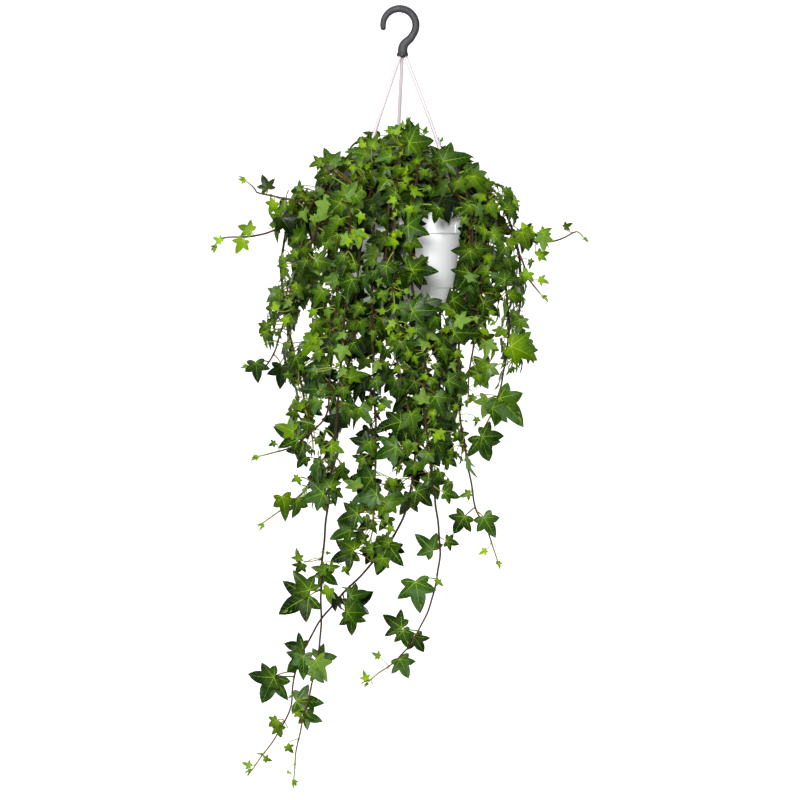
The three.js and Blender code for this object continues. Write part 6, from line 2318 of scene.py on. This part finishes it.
    def _add_petioles(self, skin: Skin, leaves: Sequence[Leaf], random: Random) -> None:
        """Adds the stalks of leaves as slim tubes.

        A stalk's line is bent: it runs from the stem to the blade, drawn to a point behind the blade on the
        line of its midrib. Its rings keep to the leaf's own directions.

        Args:
            skin: The vine's mesh.
            leaves: The leaves.
            random: Seeded chance.
        """
        count, steps, sides = len(leaves), self.petiole_steps, self.petiole_sides
        ways = np.array([(leaf.stem_point, leaf.base, leaf.along, leaf.face) for leaf in leaves])
        start, end, along, face = np.swapaxes(ways, 0, 1)
        length, youth = np.array([(leaf.length, leaf.youth) for leaf in leaves]).T
        span = np.linalg.norm(end - start, axis=1, keepdims=True)
        bulge = lerp(start, end, 0.6) - along * span * 0.22 - face * span * 0.06
        share = np.linspace(0.0, 1.0, steps)[None, :, None]
        path = bent(start[:, None], bulge[:, None], end[:, None], share)
        heading = unit(np.gradient(path, axis=1))
        guide = np.cross(face, along)[:, None]
        across = unit(guide - heading * np.sum(guide * heading, axis=-1, keepdims=True))
        thick = lerp(0.32, 0.78, np.clip(length / 30.0, 0.0, 1.0))[:, None] * np.linspace(1.25, 0.9, steps)
        rings = rings_along(path, across, np.cross(heading, across), thick, thick, around(sides))
        points = np.concatenate([rings.reshape(count, -1, 3), start[:, None], end[:, None]], axis=1)
        quads, *caps = closed_grid(rings[0], points[0, -2:])[1]
        each = steps * sides + 2
        green = np.clip(youth * 0.5 + random.uniform(0.3, 0.85, count), 0, 1)
        growth = np.stack([green, random.uniform(0.0, 1.0, count), length * MM], axis=-1)
        skin.add(
            points.reshape(-1, 3), repeated([quads, np.concatenate(caps)], count, each), 1,
            blade=np.zeros((count * each, 3)), growth=np.repeat(growth, each, axis=0),
        )

    def _add_stem(self, skin: Skin, vine: Vine, line: int, random: Random) -> None:
        """Adds a stem as a tube that thickens at its nodes and turns a little at each.

        The radius falls to the tip, mostly near it, times 1 plus a narrow bell round each node. The path is
        shifted by slow sine waves that fade out at both ends.

        Args:
            skin: The vine's mesh.
            vine: The vine.
            line: Which of its lines.
            random: Seeded chance.
        """
        points = vine.lines[line]
        at = np.linspace(0.0, len(points) - 1.0, 2 * len(points) - 1)
        path = points_at(at, np.arange(len(points)), points)
        share = at / at[-1]
        fade = np.clip(np.minimum(at, at[-1] - at) / 4.0, 0.0, 1.0)[:, None]
        waves = np.sin(at[:, None] * random.uniform(0.5, 0.9, 3) + random.uniform(0.0, 6.3, 3))
        radii = lerp(self.branch_radius if line else self.stem_radius, self.tip_radius, share**2.5)
        nodes = np.array([leaf.step for leaf in vine.leaves if leaf.line == line] or [0], float)
        bells = np.max(np.exp(-(((at[:, None] - nodes[None]) / self.node_reach) ** 2)), axis=1)
        radii = radii * (1.0 + self.node_swell * bells)
        points, faces = tube(path + waves * fade * self.stem_wave, radii, self.stem_sides)
        green = np.clip((share - 0.6) / 0.4, 0.0, 1.0) ** 3.0 * (0.95 if vine.crown else 0.75)
        green = np.clip(green + (0.25 if vine.crown or line else 0.0), 0.0, 1.0)
        along = np.concatenate([np.repeat(green, self.stem_sides), green[:1], green[-1:]])
        growth = np.stack([along, np.full(len(points), random.uniform()), np.zeros_like(along)], axis=-1)
        skin.add(points, faces, 1, blade=np.zeros((len(points), 3)), growth=growth)


@dataclass
class Studio:
    """A white sweep, soft lights and the camera at the photograph's viewing angle."""

    look_at: tuple[float, float, float] = (-0.003, 0.0, -0.4565)
    distance: float = 3.5
    elevation: float = 3.7
    frame_width: float = 0.952
    floor_z: float = -1.35
    sweep_front: float = -5.0
    sweep_y: float = 6.0
    sweep_radius: float = 2.0
    sweep_side: float = 12.6
    sweep_height: float = 11.6
    ambient: float = 0.07

    def build(self) -> None:
        """Builds the camera, the sweep and the lights."""
        scene = bpy.context.scene
        tilt = math.radians(self.elevation)
        place = Vector(self.look_at) + Vector((0.0, -math.cos(tilt), math.sin(tilt))) * self.distance
        camera = bpy.data.cameras.new("camera")
        camera.sensor_width = 36.0
        camera.lens = 36.0 * self.distance / self.frame_width
        camera.clip_end = 60.0
        scene.camera = self._aimed("camera", camera, place)
        scene.world = self._make_world()
        scene.view_settings.view_transform = "Standard"
        scene.view_settings.look = "None"
        self._add_sweep()
        self._add_light("key", (-0.35, -3.3, 0.45), 0.7, 150.0)
        self._add_light("side", (-1.9, -1.7, 1.0), 0.9, 38.0)
        self._add_light("fill", (2.2, -2.0, -0.2), 1.0, 14.0)
        self._add_light("top", (0.0, -0.4, 1.5), 1.0, 25.0)

    def _aimed(self, name: str, data: bpy.types.ID, place: Sequence[float]) -> Piece:
        """Puts a camera or a light at a place, turned to the plant.

        Args:
            name: Its name.
            data: Its data.
            place: Its place in metres.

        Returns:
            The object.
        """
        aimed = bpy.data.objects.new(name, data)
        aimed.location = place
        aimed.rotation_euler = (Vector(self.look_at) - aimed.location).to_track_quat("-Z", "Y").to_euler()
        bpy.context.scene.collection.objects.link(aimed)
        return aimed

    def _make_world(self) -> bpy.types.World:
        """Soft light from all round, and plain white where the world itself is seen."""
        world = bpy.data.worlds.new("studio")
        world.use_nodes = True
        nodes, links = world.node_tree.nodes, world.node_tree.links
        soft, seen = nodes["Background"], nodes.new("ShaderNodeBackground")
        soft.inputs["Strength"].default_value = self.ambient
        for background in (soft, seen):
            background.inputs["Color"].default_value = (1.0, 1.0, 1.0, 1.0)
        choice = nodes.new("ShaderNodeMixShader")
        links.new(nodes.new("ShaderNodeLightPath").outputs["Is Camera Ray"], choice.inputs[0])
        links.new(soft.outputs[0], choice.inputs[1])
        links.new(seen.outputs[0], choice.inputs[2])
        links.new(choice.outputs[0], nodes["World Output"].inputs["Surface"])
        return world

    def _add_sweep(self) -> None:
        """The floor, bent up into a backdrop by a quarter circle of 24 spans, with a glow round the plant.

        The glow is a smooth step of the squared distance outside a rectangle under the plant.
        """
        turn = np.linspace(0.0, math.pi / 2.0, 25)
        rise, radius = 1.0 - np.cos(turn), self.sweep_radius
        back = self.sweep_y + radius * np.sin(turn)
        y = np.concatenate([[self.sweep_front], back, [self.sweep_y + radius]])
        z = self.floor_z + np.concatenate([[0.0], radius * rise, [self.sweep_height]])
        rows = [np.stack([np.full_like(y, x), y, z], axis=-1) for x in (-self.sweep_side, self.sweep_side)]
        skin = Skin()
        skin.add(np.concatenate(rows) / MM, [grid_faces(2, len(y))])
        graph = Graph("sweep_paper")
        place = graph.place()
        across, inward, _ = graph.parts(place)
        behind, beside = inward.most(0.0), (across.size() - 1.0).most(0.0)
        ahead = (0.0 - inward - 1.6).most(0.0)
        glow = (behind * behind + beside * beside + ahead * ahead).ramp(0.36, 4.0)
        material = graph.finish(
            Base_Color=graph.mix(graph.noise(place, 40.0), srgb(220, 220, 220), srgb(216, 216, 216)),
            Roughness=0.9,
            Emission_Color=graph.mix(glow, (0.0, 0.0, 0.0), (1.0, 1.0, 1.0)),
            Emission_Strength=0.95,
        )
        skin.piece("sweep", [material], 80.0)

    def _add_light(self, name: str, place: tuple[float, float, float], size: float, power: float) -> None:
        """Adds a square area light that looks at the plant.

        Args:
            name: Its name.
            place: Its place in metres.
            size: Its side in metres.
            power: Its power in watts.
        """
        light = bpy.data.lights.new(name, "AREA")
        light.size = size
        light.energy = power
        self._aimed(name, light, place)


def main() -> None:
    """Builds the holder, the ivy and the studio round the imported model."""
    logging.basicConfig(level=logging.INFO, format="%(name)s: %(message)s")
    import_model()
    arms, pot = ArmRods(), Pot()
    Studio().build()
    pot.build(arms)
    Soil().build(pot)
    Hook().build(arms)
    arms.build(pot.rim_radius)
    Ivy(Holder(pot)).build()


if __name__ == "__main__":
    main()
